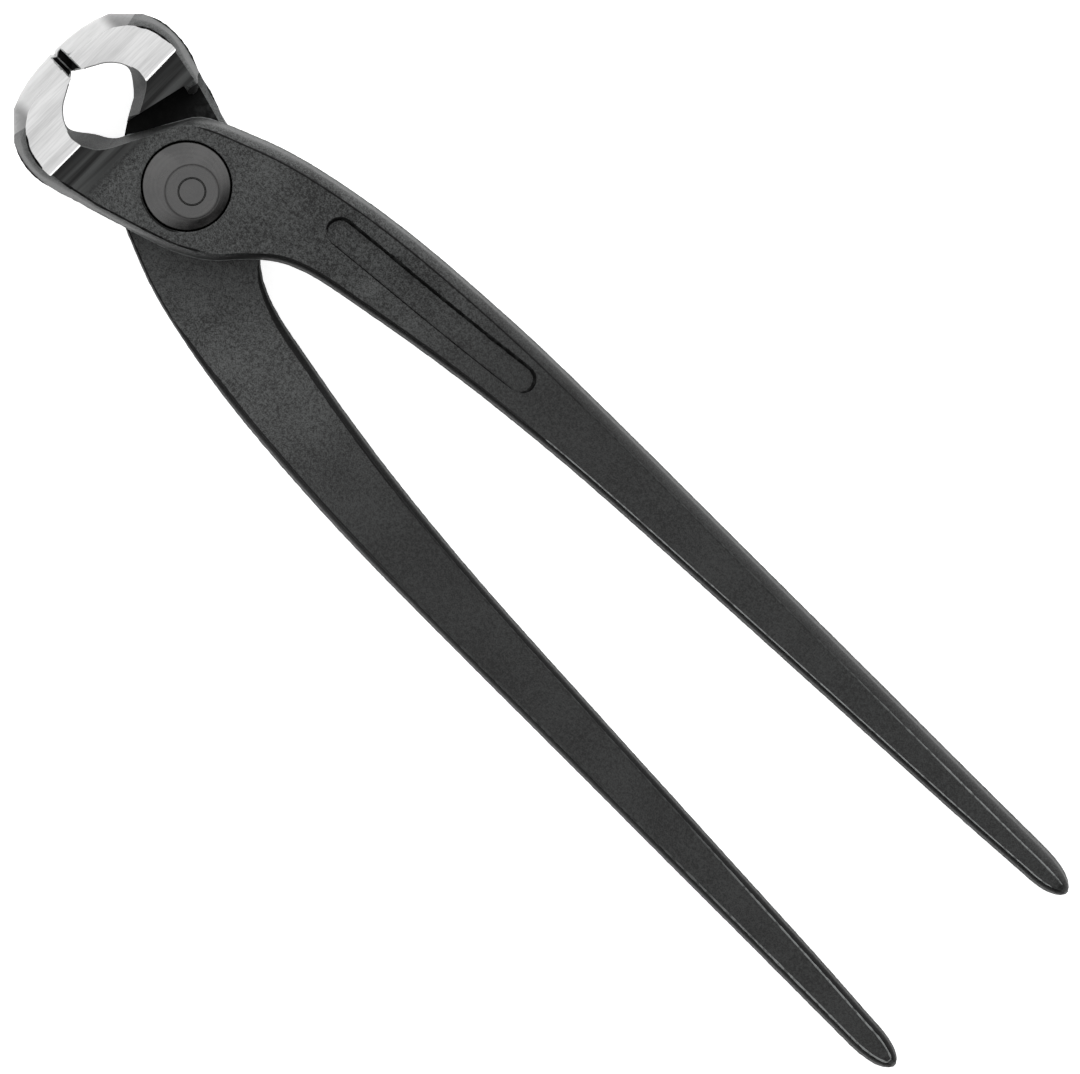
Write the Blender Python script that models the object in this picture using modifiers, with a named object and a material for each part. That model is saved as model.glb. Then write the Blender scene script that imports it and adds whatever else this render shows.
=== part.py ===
"""Rebar tying pliers: two forged levers crossed at a lap joint and held by one rivet.

The tool lies flat on its back. The origin is on the rivet's axis, at the back face of the joint.
+X runs to the ends of the handles, +Y to the side of the front lever's handle, and +Z out of the
front face. The jaws are closed. The front lever has its jaw at -Y and its handle at +Y, and the
rear lever is nearly the same forging turned over about the X axis.
"""
import math

import bmesh
import bpy
from mathutils import Matrix, Vector

MM = 0.001

# Driving dimensions of the whole tool
OVERALL_LENGTH = 220.0 * MM
HEAD_LENGTH = 31.7 * MM
HEAD_WIDTH = 33.3 * MM
JOINT_THICKNESS = 16.0 * MM
HANDLE_SPAN = 46.5 * MM
HANDLE_END_WIDTH = 5.6 * MM
HANDLE_ROOT_THICKNESS = 9.8 * MM
HANDLE_END_THICKNESS = 6.2 * MM

# Fits and gaps
LAP_GAP = 0.3 * MM
JAW_GAP = 0.3 * MM
RIVET_CLEARANCE = 0.3 * MM
OVERRUN = 4.0 * MM

# Forged edges of the levers
EDGE_BAND = 2.2 * MM
HUB_PARTING_LIFT = 1.2 * MM
REAR_ROOT_FULLNESS = 1.7 * MM
FORGING_ALLOWANCE = 0.08 * MM
HANDLE_TIP_LENGTH = 7.8 * MM
TIP_ROUND_LENGTH = 2.4 * MM

# Ground and milled faces of the head
GROUND_DEPTH = 0.6 * MM
GROUND_STEP = 0.35 * MM
GROUND_FILLET = 0.45 * MM
CROWN_DEPTH = 3.5 * MM
FRONT_SLOT_HALF_WIDTH = 0.8 * MM
BACK_SLOT_HALF_WIDTH = 1.4 * MM
CORNER_SLOT_DEPTH = 4.6 * MM
EDGE_LAND = 0.8 * MM
EDGE_BEVEL_DEPTH = 1.5 * MM
EDGE_BEVEL_MARGIN = 0.7 * MM

# Marking recess of the front handle, left bare
RECESS_WIDTH = 4.6 * MM
RECESS_DEPTH = 0.4 * MM

# Rivet
RIVET_HEAD_DIAMETER = 14.7 * MM
RIVET_HEAD_HEIGHT = 2.7 * MM
RIVET_RIM_CHAMFER = 0.25 * MM
RIVET_DOME_RISE = 1.3 * MM
RIVET_SHANK_DIAMETER = 9.6 * MM
RIVET_TAIL_DIAMETER = 12.6 * MM
RIVET_TAIL_DEPTH = 2.6 * MM
RIVET_FLAT_OFFSET = 1.26 * MM
RIVET_FLAT_DIAMETER = 9.0 * MM
RIVET_MARK_DIAMETER = 4.5 * MM
RIVET_MARK_WIDTH = 0.2 * MM
RIVET_MARK_DEPTH = 0.12 * MM

# Sizes that follow from the driving ones
HANDLE_LENGTH = OVERALL_LENGTH - HEAD_LENGTH
HALF_HEAD = HEAD_WIDTH / 2
HALF_SPAN = HANDLE_SPAN / 2
MID_PLANE = JOINT_THICKNESS / 2
LAP_LEVEL = MID_PLANE + LAP_GAP / 2

# Matching points of a lever's two edges from the jaw to the handle's root, as shares of the head's
# length along X and of half its width along Y. The first edge runs round the hollow of the jaw,
# over the hub and along the outside of the handle, the second round the outside of the jaw, down
# the neck and along the inside of the handle.
HEAD_EDGE_SHARES = (
    ((-1.088, 0.048), (-1.073, -0.589)),
    ((-0.978, 0.048), (-0.965, -0.775)),
    ((-0.892, 0.030), (-0.868, -0.863)),
    ((-0.840, -0.050), (-0.812, -0.912)),
    ((-0.802, -0.175), (-0.772, -0.944)),
    ((-0.758, -0.312), (-0.728, -0.972)),
    ((-0.691, -0.413), (-0.669, -0.994)),
    ((-0.631, -0.410), (-0.612, -1.000)),
    ((-0.536, -0.278), (-0.536, -0.988)),
    ((-0.454, -0.180), (-0.461, -0.952)),
    ((-0.382, 0.048), (-0.366, -0.895)),
    ((-0.284, 0.360), (-0.240, -0.820)),
    ((-0.215, 0.568), (-0.107, -0.742)),
    ((-0.114, 0.692), (0.038, -0.658)),
    ((0.019, 0.800), (0.202, -0.544)),
    ((0.177, 0.919), (0.360, -0.360)),
    ((0.334, 1.012), (0.470, -0.138)),
    ((0.492, 1.084), (0.555, 0.018)),
    ((0.650, 1.144), (0.659, 0.153)),
    ((0.836, 1.204), (0.826, 0.270)),
)

# The root of the hollow is fuller on the rear lever: how much of REAR_ROOT_FULLNESS its first edge
# stands forward, at places given as shares of the head's length
ROOT_FULLNESS_SHARES = (
    (-0.60, 0.00), (-0.536, 0.08), (-0.454, 1.00), (-0.382, 1.00), (-0.284, 0.50), (-0.215, 0.00))

# The handle beyond its root: the place along it, how far its outer edge has spread from the root
# to the full span, and how much of the root's extra width is left, each as a share.
HANDLE_SHARES = (
    (0.053, 0.334, 0.932),
    (0.127, 0.631, 0.817),
    (0.219, 0.859, 0.685),
    (0.343, 0.937, 0.520),
    (0.516, 0.947, 0.363),
    (0.702, 0.969, 0.215),
    (0.856, 0.978, 0.093),
)

# Widths of the rounded bands along the edges of each face, as shares of EDGE_BAND, at places given
# as shares of the head's length. The front band of the first edge is wide at the root of the
# hollow and along the handle, and the faces that look at the other lever have narrow bands.
FRONT_FIRST_BAND_SHARES = (
    (-0.67, 0.08), (-0.64, 0.35), (-0.54, 1.42), (-0.47, 1.38), (-0.40, 1.28), (-0.30, 0.95),
    (-0.20, 0.85), (0.20, 0.95), (0.80, 1.00))
FRONT_SECOND_BAND_SHARES = (
    (-0.86, 2.40), (-0.80, 1.90), (-0.73, 1.45), (-0.55, 1.05), (-0.42, 0.78), (-0.28, 0.50),
    (0.20, 0.55), (0.60, 0.50), (0.90, 0.45))
BACK_FIRST_BAND_SHARES = (
    (-0.67, 0.08), (-0.64, 0.35), (-0.54, 1.42), (-0.47, 1.38), (-0.40, 1.28), (-0.25, 0.15),
    (0.50, 0.20), (0.90, 0.48))
BACK_SECOND_BAND_SHARES = (
    (-0.86, 2.40), (-0.80, 1.90), (-0.73, 1.45), (-0.55, 1.05), (-0.42, 0.78), (-0.25, 0.15),
    (0.50, 0.25), (0.90, 0.55))
# How much of a band is straight draft, the rest being its rounded shoulder: the root of the hollow
# is a plain slope up to a crisp milled edge
FIRST_DRAFT_SHARES = ((-0.66, 0.25), (-0.60, 0.90), (-0.38, 0.90), (-0.25, 0.40), (-0.10, 0.30),
                      (0.90, 0.22))
SECOND_DRAFT_SHARES = ((-0.84, 0.33), (-0.74, 0.25), (-0.60, 0.25), (-0.50, 0.45), (-0.38, 0.45),
                       (-0.10, 0.30), (0.90, 0.22))
ROUND_RISE_SHARE = 0.36
BAND_LIMIT_SHARE = 0.38
ROUND_TURN = math.radians(66.0)
ROUND_STEPS = 4
RAIL_STEPS = 4
TIP_TURN = math.radians(82.0)
TIP_STEPS = 6

# Places along the lever, as shares of the head's length
SHOULDER_SHARE = -0.43
STEP_START_SHARE = -0.363
STEP_END_SHARE = -0.268
LAP_REACH_SHARE = 0.56
FRONT_FALL_SHARES = (0.25, 1.42)
BACK_FALL_SHARES = (0.55, 1.60)
GROUND_EDGE_SHARE = -0.543
MILLED_RUNOUT_SHARE = -0.29
SLOT_TAPER_SHARES = (-0.893, -0.860)
HOLLOW_TIP_SHARE = -0.84

# Outline of the ground end of the jaw, from past the cutting edge and its small outer bevel round
# to past the 45 degree facet, as shares of the head's length and of half its width. The third share
# is how much of CROWN_DEPTH the crown has there.
CROWN_OUTLINE_SHARES = (
    (-0.974, 0.090, 1.00),
    (-0.984, 0.000, 1.00),
    (-1.000, -0.036, 1.00),
    (-0.997, -0.200, 1.00),
    (-0.986, -0.370, 0.98),
    (-0.965, -0.530, 0.94),
    (-0.934, -0.680, 0.86),
    (-0.902, -0.739, 0.79),
    (-0.870, -0.799, 0.71),
    (-0.838, -0.858, 0.64),
    (-0.700, -1.114, 0.50),
)
CROWN_STEPS = 14
FILLET_STEPS = 4

# Shoulder of the jaw at the lap joint, as shares of the head's length and of half its width: it
# crosses the neck at a slant and ends in a round ear under the outer rim
SHOULDER_SHARES = (
    (-0.462, 2.00),
    (-0.462, -0.05),
    (-0.383, -0.693),
    (-0.335, -0.672),
    (-0.319, -0.700),
    (-0.315, -0.745),
    (-0.325, -0.790),
    (-0.369, -0.860),
    (-0.385, -0.920),
    (-0.400, -2.000),
)
LAP_RUNOUT_ANGLE = math.radians(24.0)
LAP_STEPS = 16

# Middle line of the marking recess, as shares of the handle's length and of half its span
RECESS_LINE_SHARES = (
    (0.125, 0.547),
    (0.176, 0.588),
    (0.229, 0.629),
    (0.282, 0.674),
    (0.331, 0.720),
)
RECESS_END_TURN = math.radians(84.0)
RECESS_END_STEPS = 5

# Steps of the turned shapes
TURNED_STEPS = 48
FLAT_STEPS = 32
DOME_STEPS = 7

FORGED_SMOOTH_ANGLE = math.radians(28.0)
TURNED_SMOOTH_ANGLE = math.radians(9.0)
FORGED_BLACK = (0.062, 0.064, 0.064, 1.0)
RIVET_BLACK = (0.10, 0.097, 0.095, 1.0)


def mix(low, high, amount):
    return low + (high - low) * amount


def ramp(value, start, end):
    """Smooth rise from 0 at start to 1 at end."""
    part = min(max((value - start) / (end - start), 0.0), 1.0)
    return part * part * (3.0 - 2.0 * part)


def table_value(table, place):
    """Straight-line reading of a table of (place, value) pairs."""
    if place <= table[0][0]:
        return table[0][1]
    for (start, low), (end, high) in zip(table, table[1:]):
        if place <= end:
            return mix(low, high, (place - start) / (end - start))
    return table[-1][1]


def smooth_curve(points, steps):
    """Points of a Catmull-Rom curve through the given ones."""
    ends = [points[0] * 2 - points[1]] + list(points) + [points[-1] * 2 - points[-2]]
    curve = []
    for index in range(1, len(ends) - 2):
        before, start, end, after = ends[index - 1:index + 3]
        for step in range(steps):
            t = step / steps
            curve.append(0.5 * (2 * start + (end - before) * t
                                + (2 * before - 5 * start + 4 * end - after) * t ** 2
                                + (3 * start - before - 3 * end + after) * t ** 3))
    curve.append(points[-1].copy())
    return curve


def new_collection(name):
    collection = bpy.data.collections.new(name)
    bpy.context.scene.collection.children.link(collection)
    return collection


def new_material(name, colour, roughness):
    material = bpy.data.materials.new(name)
    material.use_nodes = True
    shader = material.node_tree.nodes["Principled BSDF"]
    shader.inputs["Base Color"].default_value = colour
    shader.inputs["Roughness"].default_value = roughness
    shader.inputs["Metallic"].default_value = 1.0
    return material


def mesh_object(name, shape, collection):
    """Object made from a bmesh whose faces are turned outwards."""
    bmesh.ops.recalc_face_normals(shape, faces=shape.faces)
    mesh = bpy.data.meshes.new(name)
    shape.to_mesh(mesh)
    shape.free()
    item = bpy.data.objects.new(name, mesh)
    collection.objects.link(item)
    return item


def make_cutter(item):
    item.hide_render = True
    item.display_type = "WIRE"
    return item


def loft(name, rings, collection):
    """Closed solid through rings of equally many points, for sections that change along the way."""
    shape = bmesh.new()
    rows = [[shape.verts.new(point) for point in ring] for ring in rings]
    count = len(rings[0])
    for near, far in zip(rows, rows[1:]):
        for index in range(count):
            after = (index + 1) % count
            shape.faces.new((near[index], near[after], far[after], far[index]))
    shape.faces.new(rows[0])
    shape.faces.new(rows[-1])
    bmesh.ops.recalc_face_normals(shape, faces=shape.faces)
    bmesh.ops.triangulate(shape, faces=shape.faces)
    return mesh_object(name, shape, collection)


def prism(name, outline, low, high, collection, along="Z"):
    """Flat outline pulled from low to high along Z, or along Y for an outline in X and Z."""
    shape = bmesh.new()
    if along == "Z":
        corners = [Vector((x, y, low)) for x, y in outline]
        pull = Vector((0, 0, high - low))
    else:
        corners = [Vector((x, low, z)) for x, z in outline]
        pull = Vector((0, high - low, 0))
    face = shape.faces.new([shape.verts.new(corner) for corner in corners])
    grown = bmesh.ops.extrude_face_region(shape, geom=[face])
    moved = [part for part in grown["geom"] if isinstance(part, bmesh.types.BMVert)]
    bmesh.ops.translate(shape, verts=moved, vec=pull)
    return mesh_object(name, shape, collection)


def turned(name, profile, steps, collection, ring=False):
    """Profile of (radius, height) points, down its outer side, turned about the Z axis."""
    mesh = bpy.data.meshes.new(name)
    points = [(radius, 0, height) for radius, height in profile]
    edges = [(index, index + 1) for index in range(len(points) - 1)]
    if ring:
        edges.append((len(points) - 1, 0))
    mesh.from_pydata(points, edges, [])
    item = bpy.data.objects.new(name, mesh)
    collection.objects.link(item)
    screw = item.modifiers.new("turn", "SCREW")
    screw.steps = steps
    screw.render_steps = steps
    screw.use_merge_vertices = True
    screw.merge_threshold = 0.001 * MM
    return item


def cut(item, cutter):
    boolean = item.modifiers.new("cut " + cutter.name, "BOOLEAN")
    boolean.operation = "DIFFERENCE"
    boolean.solver = "EXACT"
    boolean.object = cutter


# Levels of the forging


def handle_half_thickness(x):
    along = min(max(x / HANDLE_LENGTH, 0.0), 1.0)
    return mix(HANDLE_ROOT_THICKNESS, HANDLE_END_THICKNESS, along) / 2


def front_level(x):
    """Height of the front face: level over the head and the hub, then down to the handle."""
    start, end = (share * HEAD_LENGTH for share in FRONT_FALL_SHARES)
    return mix(JOINT_THICKNESS, MID_PLANE + handle_half_thickness(x), ramp(x, start, end))


def lap_step(x):
    return ramp(x, STEP_START_SHARE * HEAD_LENGTH, STEP_END_SHARE * HEAD_LENGTH)


def back_fall(x):
    start, end = (share * HEAD_LENGTH for share in BACK_FALL_SHARES)
    return ramp(x, start, end)


def back_level(x):
    """Height of the back face: the jaw is full, the hub half as thick, the handle central."""
    hub = mix(0.0, LAP_LEVEL - FORGING_ALLOWANCE, lap_step(x))
    return mix(hub, MID_PLANE - handle_half_thickness(x), back_fall(x))


def parting_level(x):
    """Height of the forging's widest line."""
    return MID_PLANE + HUB_PARTING_LIFT * lap_step(x) * (1.0 - back_fall(x))


# The lever blank


def side_points(rail, inward, band, draft_share, level, thin):
    """Points of one side of a section, from just off the parting line to the edge of a face."""
    draft = band * draft_share
    points = []
    for step in range(ROUND_STEPS + 1):
        angle = ROUND_TURN * step / ROUND_STEPS
        across = (1 - math.cos(angle)) / (1 - math.cos(ROUND_TURN))
        up = math.sin(angle) / math.sin(ROUND_TURN)
        place = rail + inward * mix(draft, band, across)
        parting = parting_level(place.x)
        face = mix(parting, level(place.x), thin)
        height = face - (face - parting) * ROUND_RISE_SHARE * (1 - up)
        points.append(Vector((place.x, place.y, height)))
    return points


def section(first, second, thin=1.0):
    """Closed ring of a lever between its two edges, with thin shrinking it towards mid height."""
    across = second - first
    inward = across.normalized()
    place = (first.x + second.x) / 2 / HEAD_LENGTH
    limit = across.length * BAND_LIMIT_SHARE

    def side(rail, direction, level, bands, drafts):
        band = min(table_value(bands, place) * EDGE_BAND, limit)
        return side_points(rail, direction, band, table_value(drafts, place), level, thin)

    first_front = side(first, inward, front_level, FRONT_FIRST_BAND_SHARES, FIRST_DRAFT_SHARES)
    first_back = side(first, inward, back_level, BACK_FIRST_BAND_SHARES, FIRST_DRAFT_SHARES)
    second_front = side(second, -inward, front_level, FRONT_SECOND_BAND_SHARES, SECOND_DRAFT_SHARES)
    second_back = side(second, -inward, back_level, BACK_SECOND_BAND_SHARES, SECOND_DRAFT_SHARES)
    first_line = [Vector((first.x, first.y, parting_level(first.x)))]
    second_line = [Vector((second.x, second.y, parting_level(second.x)))]
    return (first_back[::-1] + first_line + first_front
            + second_front[::-1] + second_line + second_back)


def lever_edges(fullness):
    """The two edges of the lever as matching lists of points, and the start of its rounded tip."""
    firsts = [Vector((a[0] * HEAD_LENGTH - table_value(ROOT_FULLNESS_SHARES, a[0]) * fullness,
                      a[1] * HALF_HEAD)) for a, b in HEAD_EDGE_SHARES]
    seconds = [Vector((b[0] * HEAD_LENGTH, b[1] * HALF_HEAD)) for a, b in HEAD_EDGE_SHARES]
    root = firsts[-1]
    root_width = root.y - seconds[-1].y
    tip_start = HANDLE_LENGTH - HANDLE_TIP_LENGTH
    for along, spread, extra in HANDLE_SHARES + ((None, 1.0, 0.0),):
        x = tip_start if along is None else mix(root.x, HANDLE_LENGTH, along)
        y = mix(root.y, HALF_SPAN, spread)
        firsts.append(Vector((x, y)))
        seconds.append(Vector((x, y - mix(HANDLE_END_WIDTH, root_width, extra))))
    return smooth_curve(firsts, RAIL_STEPS), smooth_curve(seconds, RAIL_STEPS), tip_start


def lever_blank(name, fullness, collection):
    """The forging: sections lofted from the jaw over the hub to the rounded tip of the handle."""
    firsts, seconds, tip_start = lever_edges(fullness)
    rings = [section(first, second) for first, second in zip(firsts, seconds)]
    middle = (firsts[-1] + seconds[-1]) / 2
    half = (firsts[-1] - seconds[-1]) / 2
    for step in range(1, TIP_STEPS + 1):
        angle = TIP_TURN * step / TIP_STEPS
        ahead = Vector((HANDLE_TIP_LENGTH * math.sin(angle), 0))
        narrow = half * math.cos(angle)
        left = HANDLE_TIP_LENGTH - ahead.x
        part = min(left / TIP_ROUND_LENGTH, 1.0)
        thin = math.sqrt(1.0 - (1.0 - part) ** 2)
        rings.append(section(middle + ahead + narrow, middle + ahead - narrow, thin))
    return loft(name, rings, collection)


# Grinding and milling tools, each in the place of the front lever


def crown_tool(name, collection):
    """Grinds the end of the jaw to a crown: bowed across the thickness, bent round the corner."""
    outline = [Vector((x * HEAD_LENGTH, y * HALF_HEAD)) for x, y, share in CROWN_OUTLINE_SHARES]
    rings = []
    for index, point in enumerate(outline):
        full = CROWN_OUTLINE_SHARES[index][2] * CROWN_DEPTH
        radius = (MID_PLANE ** 2 + full ** 2) / (2 * full)
        before = outline[max(index - 1, 0)]
        after = outline[min(index + 1, len(outline) - 1)]
        sides = [(end - start).normalized() for start, end in ((before, point), (point, after))
                 if (end - start).length > 0]
        normals = [Vector((-side.y, side.x)) for side in sides]
        inward = sum(normals, Vector((0, 0))).normalized()
        inward = inward / inward.dot(normals[0])
        ring = []
        for step in range(CROWN_STEPS + 1):
            height = mix(-MID_PLANE, MID_PLANE, step / CROWN_STEPS)
            depth = radius - math.sqrt(radius ** 2 - height ** 2)
            place = point + inward * depth
            ring.append(Vector((place.x, place.y, MID_PLANE + height)))
        corner = point + inward * full
        outside = point - inward * HALF_HEAD
        top, bottom = JOINT_THICKNESS + OVERRUN, -OVERRUN
        ring.append(Vector((corner.x, corner.y, top)))
        ring.append(Vector((outside.x, outside.y, top)))
        ring.append(Vector((outside.x, outside.y, bottom)))
        ring.append(Vector((corner.x, corner.y, bottom)))
        rings.append(ring)
    return make_cutter(loft(name, rings, collection))


def face_tool(name, front, collection):
    """Mills the neck and grinds the jaw, on the front face or mirrored on the back one."""
    edge = GROUND_EDGE_SHARE * HEAD_LENGTH
    runout = MILLED_RUNOUT_SHARE * HEAD_LENGTH
    past = -HEAD_LENGTH - OVERRUN
    milled = GROUND_DEPTH - GROUND_STEP
    profile = [(past, GROUND_DEPTH), (edge - GROUND_FILLET, GROUND_DEPTH)]
    for step in range(1, FILLET_STEPS):
        angle = math.radians(90.0) * step / FILLET_STEPS
        run = GROUND_FILLET * math.sin(angle)
        lift = (GROUND_DEPTH - milled) * (1 - math.cos(angle))
        profile.append((edge - GROUND_FILLET + run, GROUND_DEPTH - lift))
    profile.append((edge, milled))
    if front:
        slope = milled / (runout - edge)
        profile.append((runout + OVERRUN, -OVERRUN * slope))
    else:
        profile.append((SHOULDER_SHARE * HEAD_LENGTH + OVERRUN, milled))
    profile.append((profile[-1][0], -OVERRUN))
    profile.append((past, -OVERRUN))
    face = JOINT_THICKNESS if front else 0.0
    sign = -1.0 if front else 1.0
    outline = [(x, face + sign * depth) for x, depth in profile]
    tool = prism(name, outline, -HEAD_WIDTH, HEAD_WIDTH, collection, along="Y")
    return make_cutter(tool)


def jaw_plane_tool(name, collection):
    """Grinds the face where the two jaws meet."""
    outline = [(-HEAD_LENGTH - OVERRUN, -JAW_GAP / 2), (HOLLOW_TIP_SHARE * HEAD_LENGTH, -JAW_GAP / 2),
               (HOLLOW_TIP_SHARE * HEAD_LENGTH, HALF_HEAD), (-HEAD_LENGTH - OVERRUN, HALF_HEAD)]
    low, high = -OVERRUN, JOINT_THICKNESS + OVERRUN
    return make_cutter(prism(name, outline, low, high, collection))


def edge_bevel_tool(name, collection):
    """Relieves the inside of the cutting edge, between the blunt corners at the two faces."""
    start = -HEAD_LENGTH + EDGE_LAND
    end = HOLLOW_TIP_SHARE * HEAD_LENGTH
    outline = [(start, -JAW_GAP / 2), (end, -JAW_GAP / 2 - EDGE_BEVEL_DEPTH),
               (end, OVERRUN), (start, OVERRUN)]
    low = CORNER_SLOT_DEPTH + EDGE_BEVEL_MARGIN
    return make_cutter(prism(name, outline, low, JOINT_THICKNESS - low, collection))


def corner_slot_tool(name, front, collection):
    """Cuts the slot that frees the end of the cutting edge at one face."""
    start = -HEAD_LENGTH - OVERRUN
    taper, end = (share * HEAD_LENGTH for share in SLOT_TAPER_SHARES)
    half = FRONT_SLOT_HALF_WIDTH if front else BACK_SLOT_HALF_WIDTH
    outline = [(start, -half), (taper, -half), (end, -JAW_GAP / 2), (end, HALF_HEAD),
               (start, HALF_HEAD)]
    if front:
        low, high = JOINT_THICKNESS - CORNER_SLOT_DEPTH, JOINT_THICKNESS + OVERRUN
    else:
        low, high = -OVERRUN, CORNER_SLOT_DEPTH
    return make_cutter(prism(name, outline, low, high, collection))


def lap_tool(name, collection):
    """Mills the flat of the lap joint: up to the jaw's shoulder, and run out towards the handle."""
    rings = []
    for level in (LAP_LEVEL, -OVERRUN):
        reach = LAP_REACH_SHARE * HEAD_LENGTH + (LAP_LEVEL - level) / math.tan(LAP_RUNOUT_ANGLE)
        ring = [Vector((x * HEAD_LENGTH, y * HALF_HEAD, level)) for x, y in SHOULDER_SHARES]
        for step in range(LAP_STEPS + 1):
            angle = math.radians(mix(-90.0, 90.0, step / LAP_STEPS))
            ring.append(Vector((reach * math.cos(angle), HEAD_WIDTH * math.sin(angle), level)))
        rings.append(ring)
    return make_cutter(loft(name, rings, collection))


def front_bore_tool(name, collection):
    """Bores the front lever for the shank and counterbores it for the head of the rivet."""
    head = RIVET_HEAD_DIAMETER / 2 + RIVET_CLEARANCE
    shank = RIVET_SHANK_DIAMETER / 2 + RIVET_CLEARANCE
    floor = JOINT_THICKNESS - RIVET_HEAD_HEIGHT - RIVET_CLEARANCE
    profile = [(0, JOINT_THICKNESS + OVERRUN), (head, JOINT_THICKNESS + OVERRUN), (head, floor),
               (shank, floor), (shank, -OVERRUN), (0, -OVERRUN)]
    return make_cutter(turned(name, profile, TURNED_STEPS, collection))


def rear_bore_tool(name, collection):
    """Bores the rear lever and countersinks it for the tail, in the place of the front lever."""
    slope = (RIVET_TAIL_DIAMETER - RIVET_SHANK_DIAMETER) / 2 / RIVET_TAIL_DEPTH
    shank = RIVET_SHANK_DIAMETER / 2 + RIVET_CLEARANCE
    tail = RIVET_TAIL_DIAMETER / 2 + RIVET_CLEARANCE
    top = JOINT_THICKNESS
    profile = [(0, top + OVERRUN), (tail + slope * OVERRUN, top + OVERRUN),
               (shank, top - RIVET_TAIL_DEPTH), (shank, -OVERRUN), (0, -OVERRUN)]
    return make_cutter(turned(name, profile, TURNED_STEPS, collection))


def recess_tool(name, collection):
    """Presses the marking recess: a round-ended slot whose floor follows the handle's face."""
    line = [Vector((x * HANDLE_LENGTH, y * HALF_SPAN)) for x, y in RECESS_LINE_SHARES]
    line = smooth_curve(line, 2)
    half = RECESS_WIDTH / 2
    stations = []
    first_way = (line[0] - line[1]).normalized()
    last_way = (line[-1] - line[-2]).normalized()
    for step in range(RECESS_END_STEPS, 0, -1):
        angle = RECESS_END_TURN * step / RECESS_END_STEPS
        stations.append((line[0] + first_way * half * math.sin(angle), -first_way, math.cos(angle)))
    for index, point in enumerate(line):
        before = line[max(index - 1, 0)]
        after = line[min(index + 1, len(line) - 1)]
        stations.append((point, (after - before).normalized(), 1.0))
    for step in range(1, RECESS_END_STEPS + 1):
        angle = RECESS_END_TURN * step / RECESS_END_STEPS
        stations.append((line[-1] + last_way * half * math.sin(angle), last_way, math.cos(angle)))
    rings = []
    for point, way, width in stations:
        left = point + Vector((-way.y, way.x)) * half * width
        right = point - Vector((-way.y, way.x)) * half * width
        top = JOINT_THICKNESS + OVERRUN
        rings.append([Vector((left.x, left.y, top)), Vector((right.x, right.y, top)),
                      Vector((right.x, right.y, front_level(right.x) - RECESS_DEPTH)),
                      Vector((left.x, left.y, front_level(left.x) - RECESS_DEPTH))])
    return make_cutter(loft(name, rings, collection))


# Finished pieces


def finish(item, material, smooth_angle):
    item.data.materials.clear()
    item.data.materials.append(material)
    item.data.shade_smooth()
    item.data.set_sharp_from_angle(angle=smooth_angle)


def make_lever(name, fullness, tools, collection, material):
    lever = lever_blank(name, fullness, collection)
    for tool in tools:
        cut(lever, tool)
    finish(lever, material, FORGED_SMOOTH_ANGLE)
    return lever


def make_rivet(name, collection, cutters, material):
    """Turned rivet: domed head with a flat ground a little off its middle, shank, flush tail."""
    top = JOINT_THICKNESS
    head = RIVET_HEAD_DIAMETER / 2
    rim = head - RIVET_RIM_CHAMFER
    shank = RIVET_SHANK_DIAMETER / 2
    tail = RIVET_TAIL_DIAMETER / 2
    dome = (rim ** 2 + RIVET_DOME_RISE ** 2) / (2 * RIVET_DOME_RISE)
    centre = top + RIVET_DOME_RISE - dome
    profile = [(0, top + RIVET_DOME_RISE)]
    for step in range(1, DOME_STEPS + 1):
        radius = rim * step / DOME_STEPS
        profile.append((radius, centre + math.sqrt(dome ** 2 - radius ** 2)))
    profile += [(head, top - RIVET_RIM_CHAMFER), (head, top - RIVET_HEAD_HEIGHT),
                (shank, top - RIVET_HEAD_HEIGHT), (shank, RIVET_TAIL_DEPTH), (tail, 0), (0, 0)]
    rivet = turned(name, profile, TURNED_STEPS, collection)

    tilt = math.asin(RIVET_FLAT_OFFSET / dome)
    flat_height = math.sqrt(dome ** 2 - (RIVET_FLAT_DIAMETER / 2) ** 2)
    place = Matrix.Translation((0, 0, centre)) @ Matrix.Rotation(tilt, 4, "Y")
    flat_profile = [(0, flat_height + OVERRUN), (head, flat_height + OVERRUN),
                    (head, flat_height), (0, flat_height)]
    flat = make_cutter(turned("rivet_flat_tool", flat_profile, FLAT_STEPS, cutters))
    flat.matrix_world = place
    cut(rivet, flat)

    inner = RIVET_MARK_DIAMETER / 2 - RIVET_MARK_WIDTH / 2
    outer = RIVET_MARK_DIAMETER / 2 + RIVET_MARK_WIDTH / 2
    low = flat_height - RIVET_MARK_DEPTH
    mark_profile = [(inner, flat_height + OVERRUN), (outer, flat_height + OVERRUN), (outer, low),
                    (inner, low)]
    mark = make_cutter(turned("rivet_mark_tool", mark_profile, FLAT_STEPS, cutters, ring=True))
    mark.matrix_world = place
    cut(rivet, mark)
    finish(rivet, material, TURNED_SMOOTH_ANGLE)
    return rivet


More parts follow.
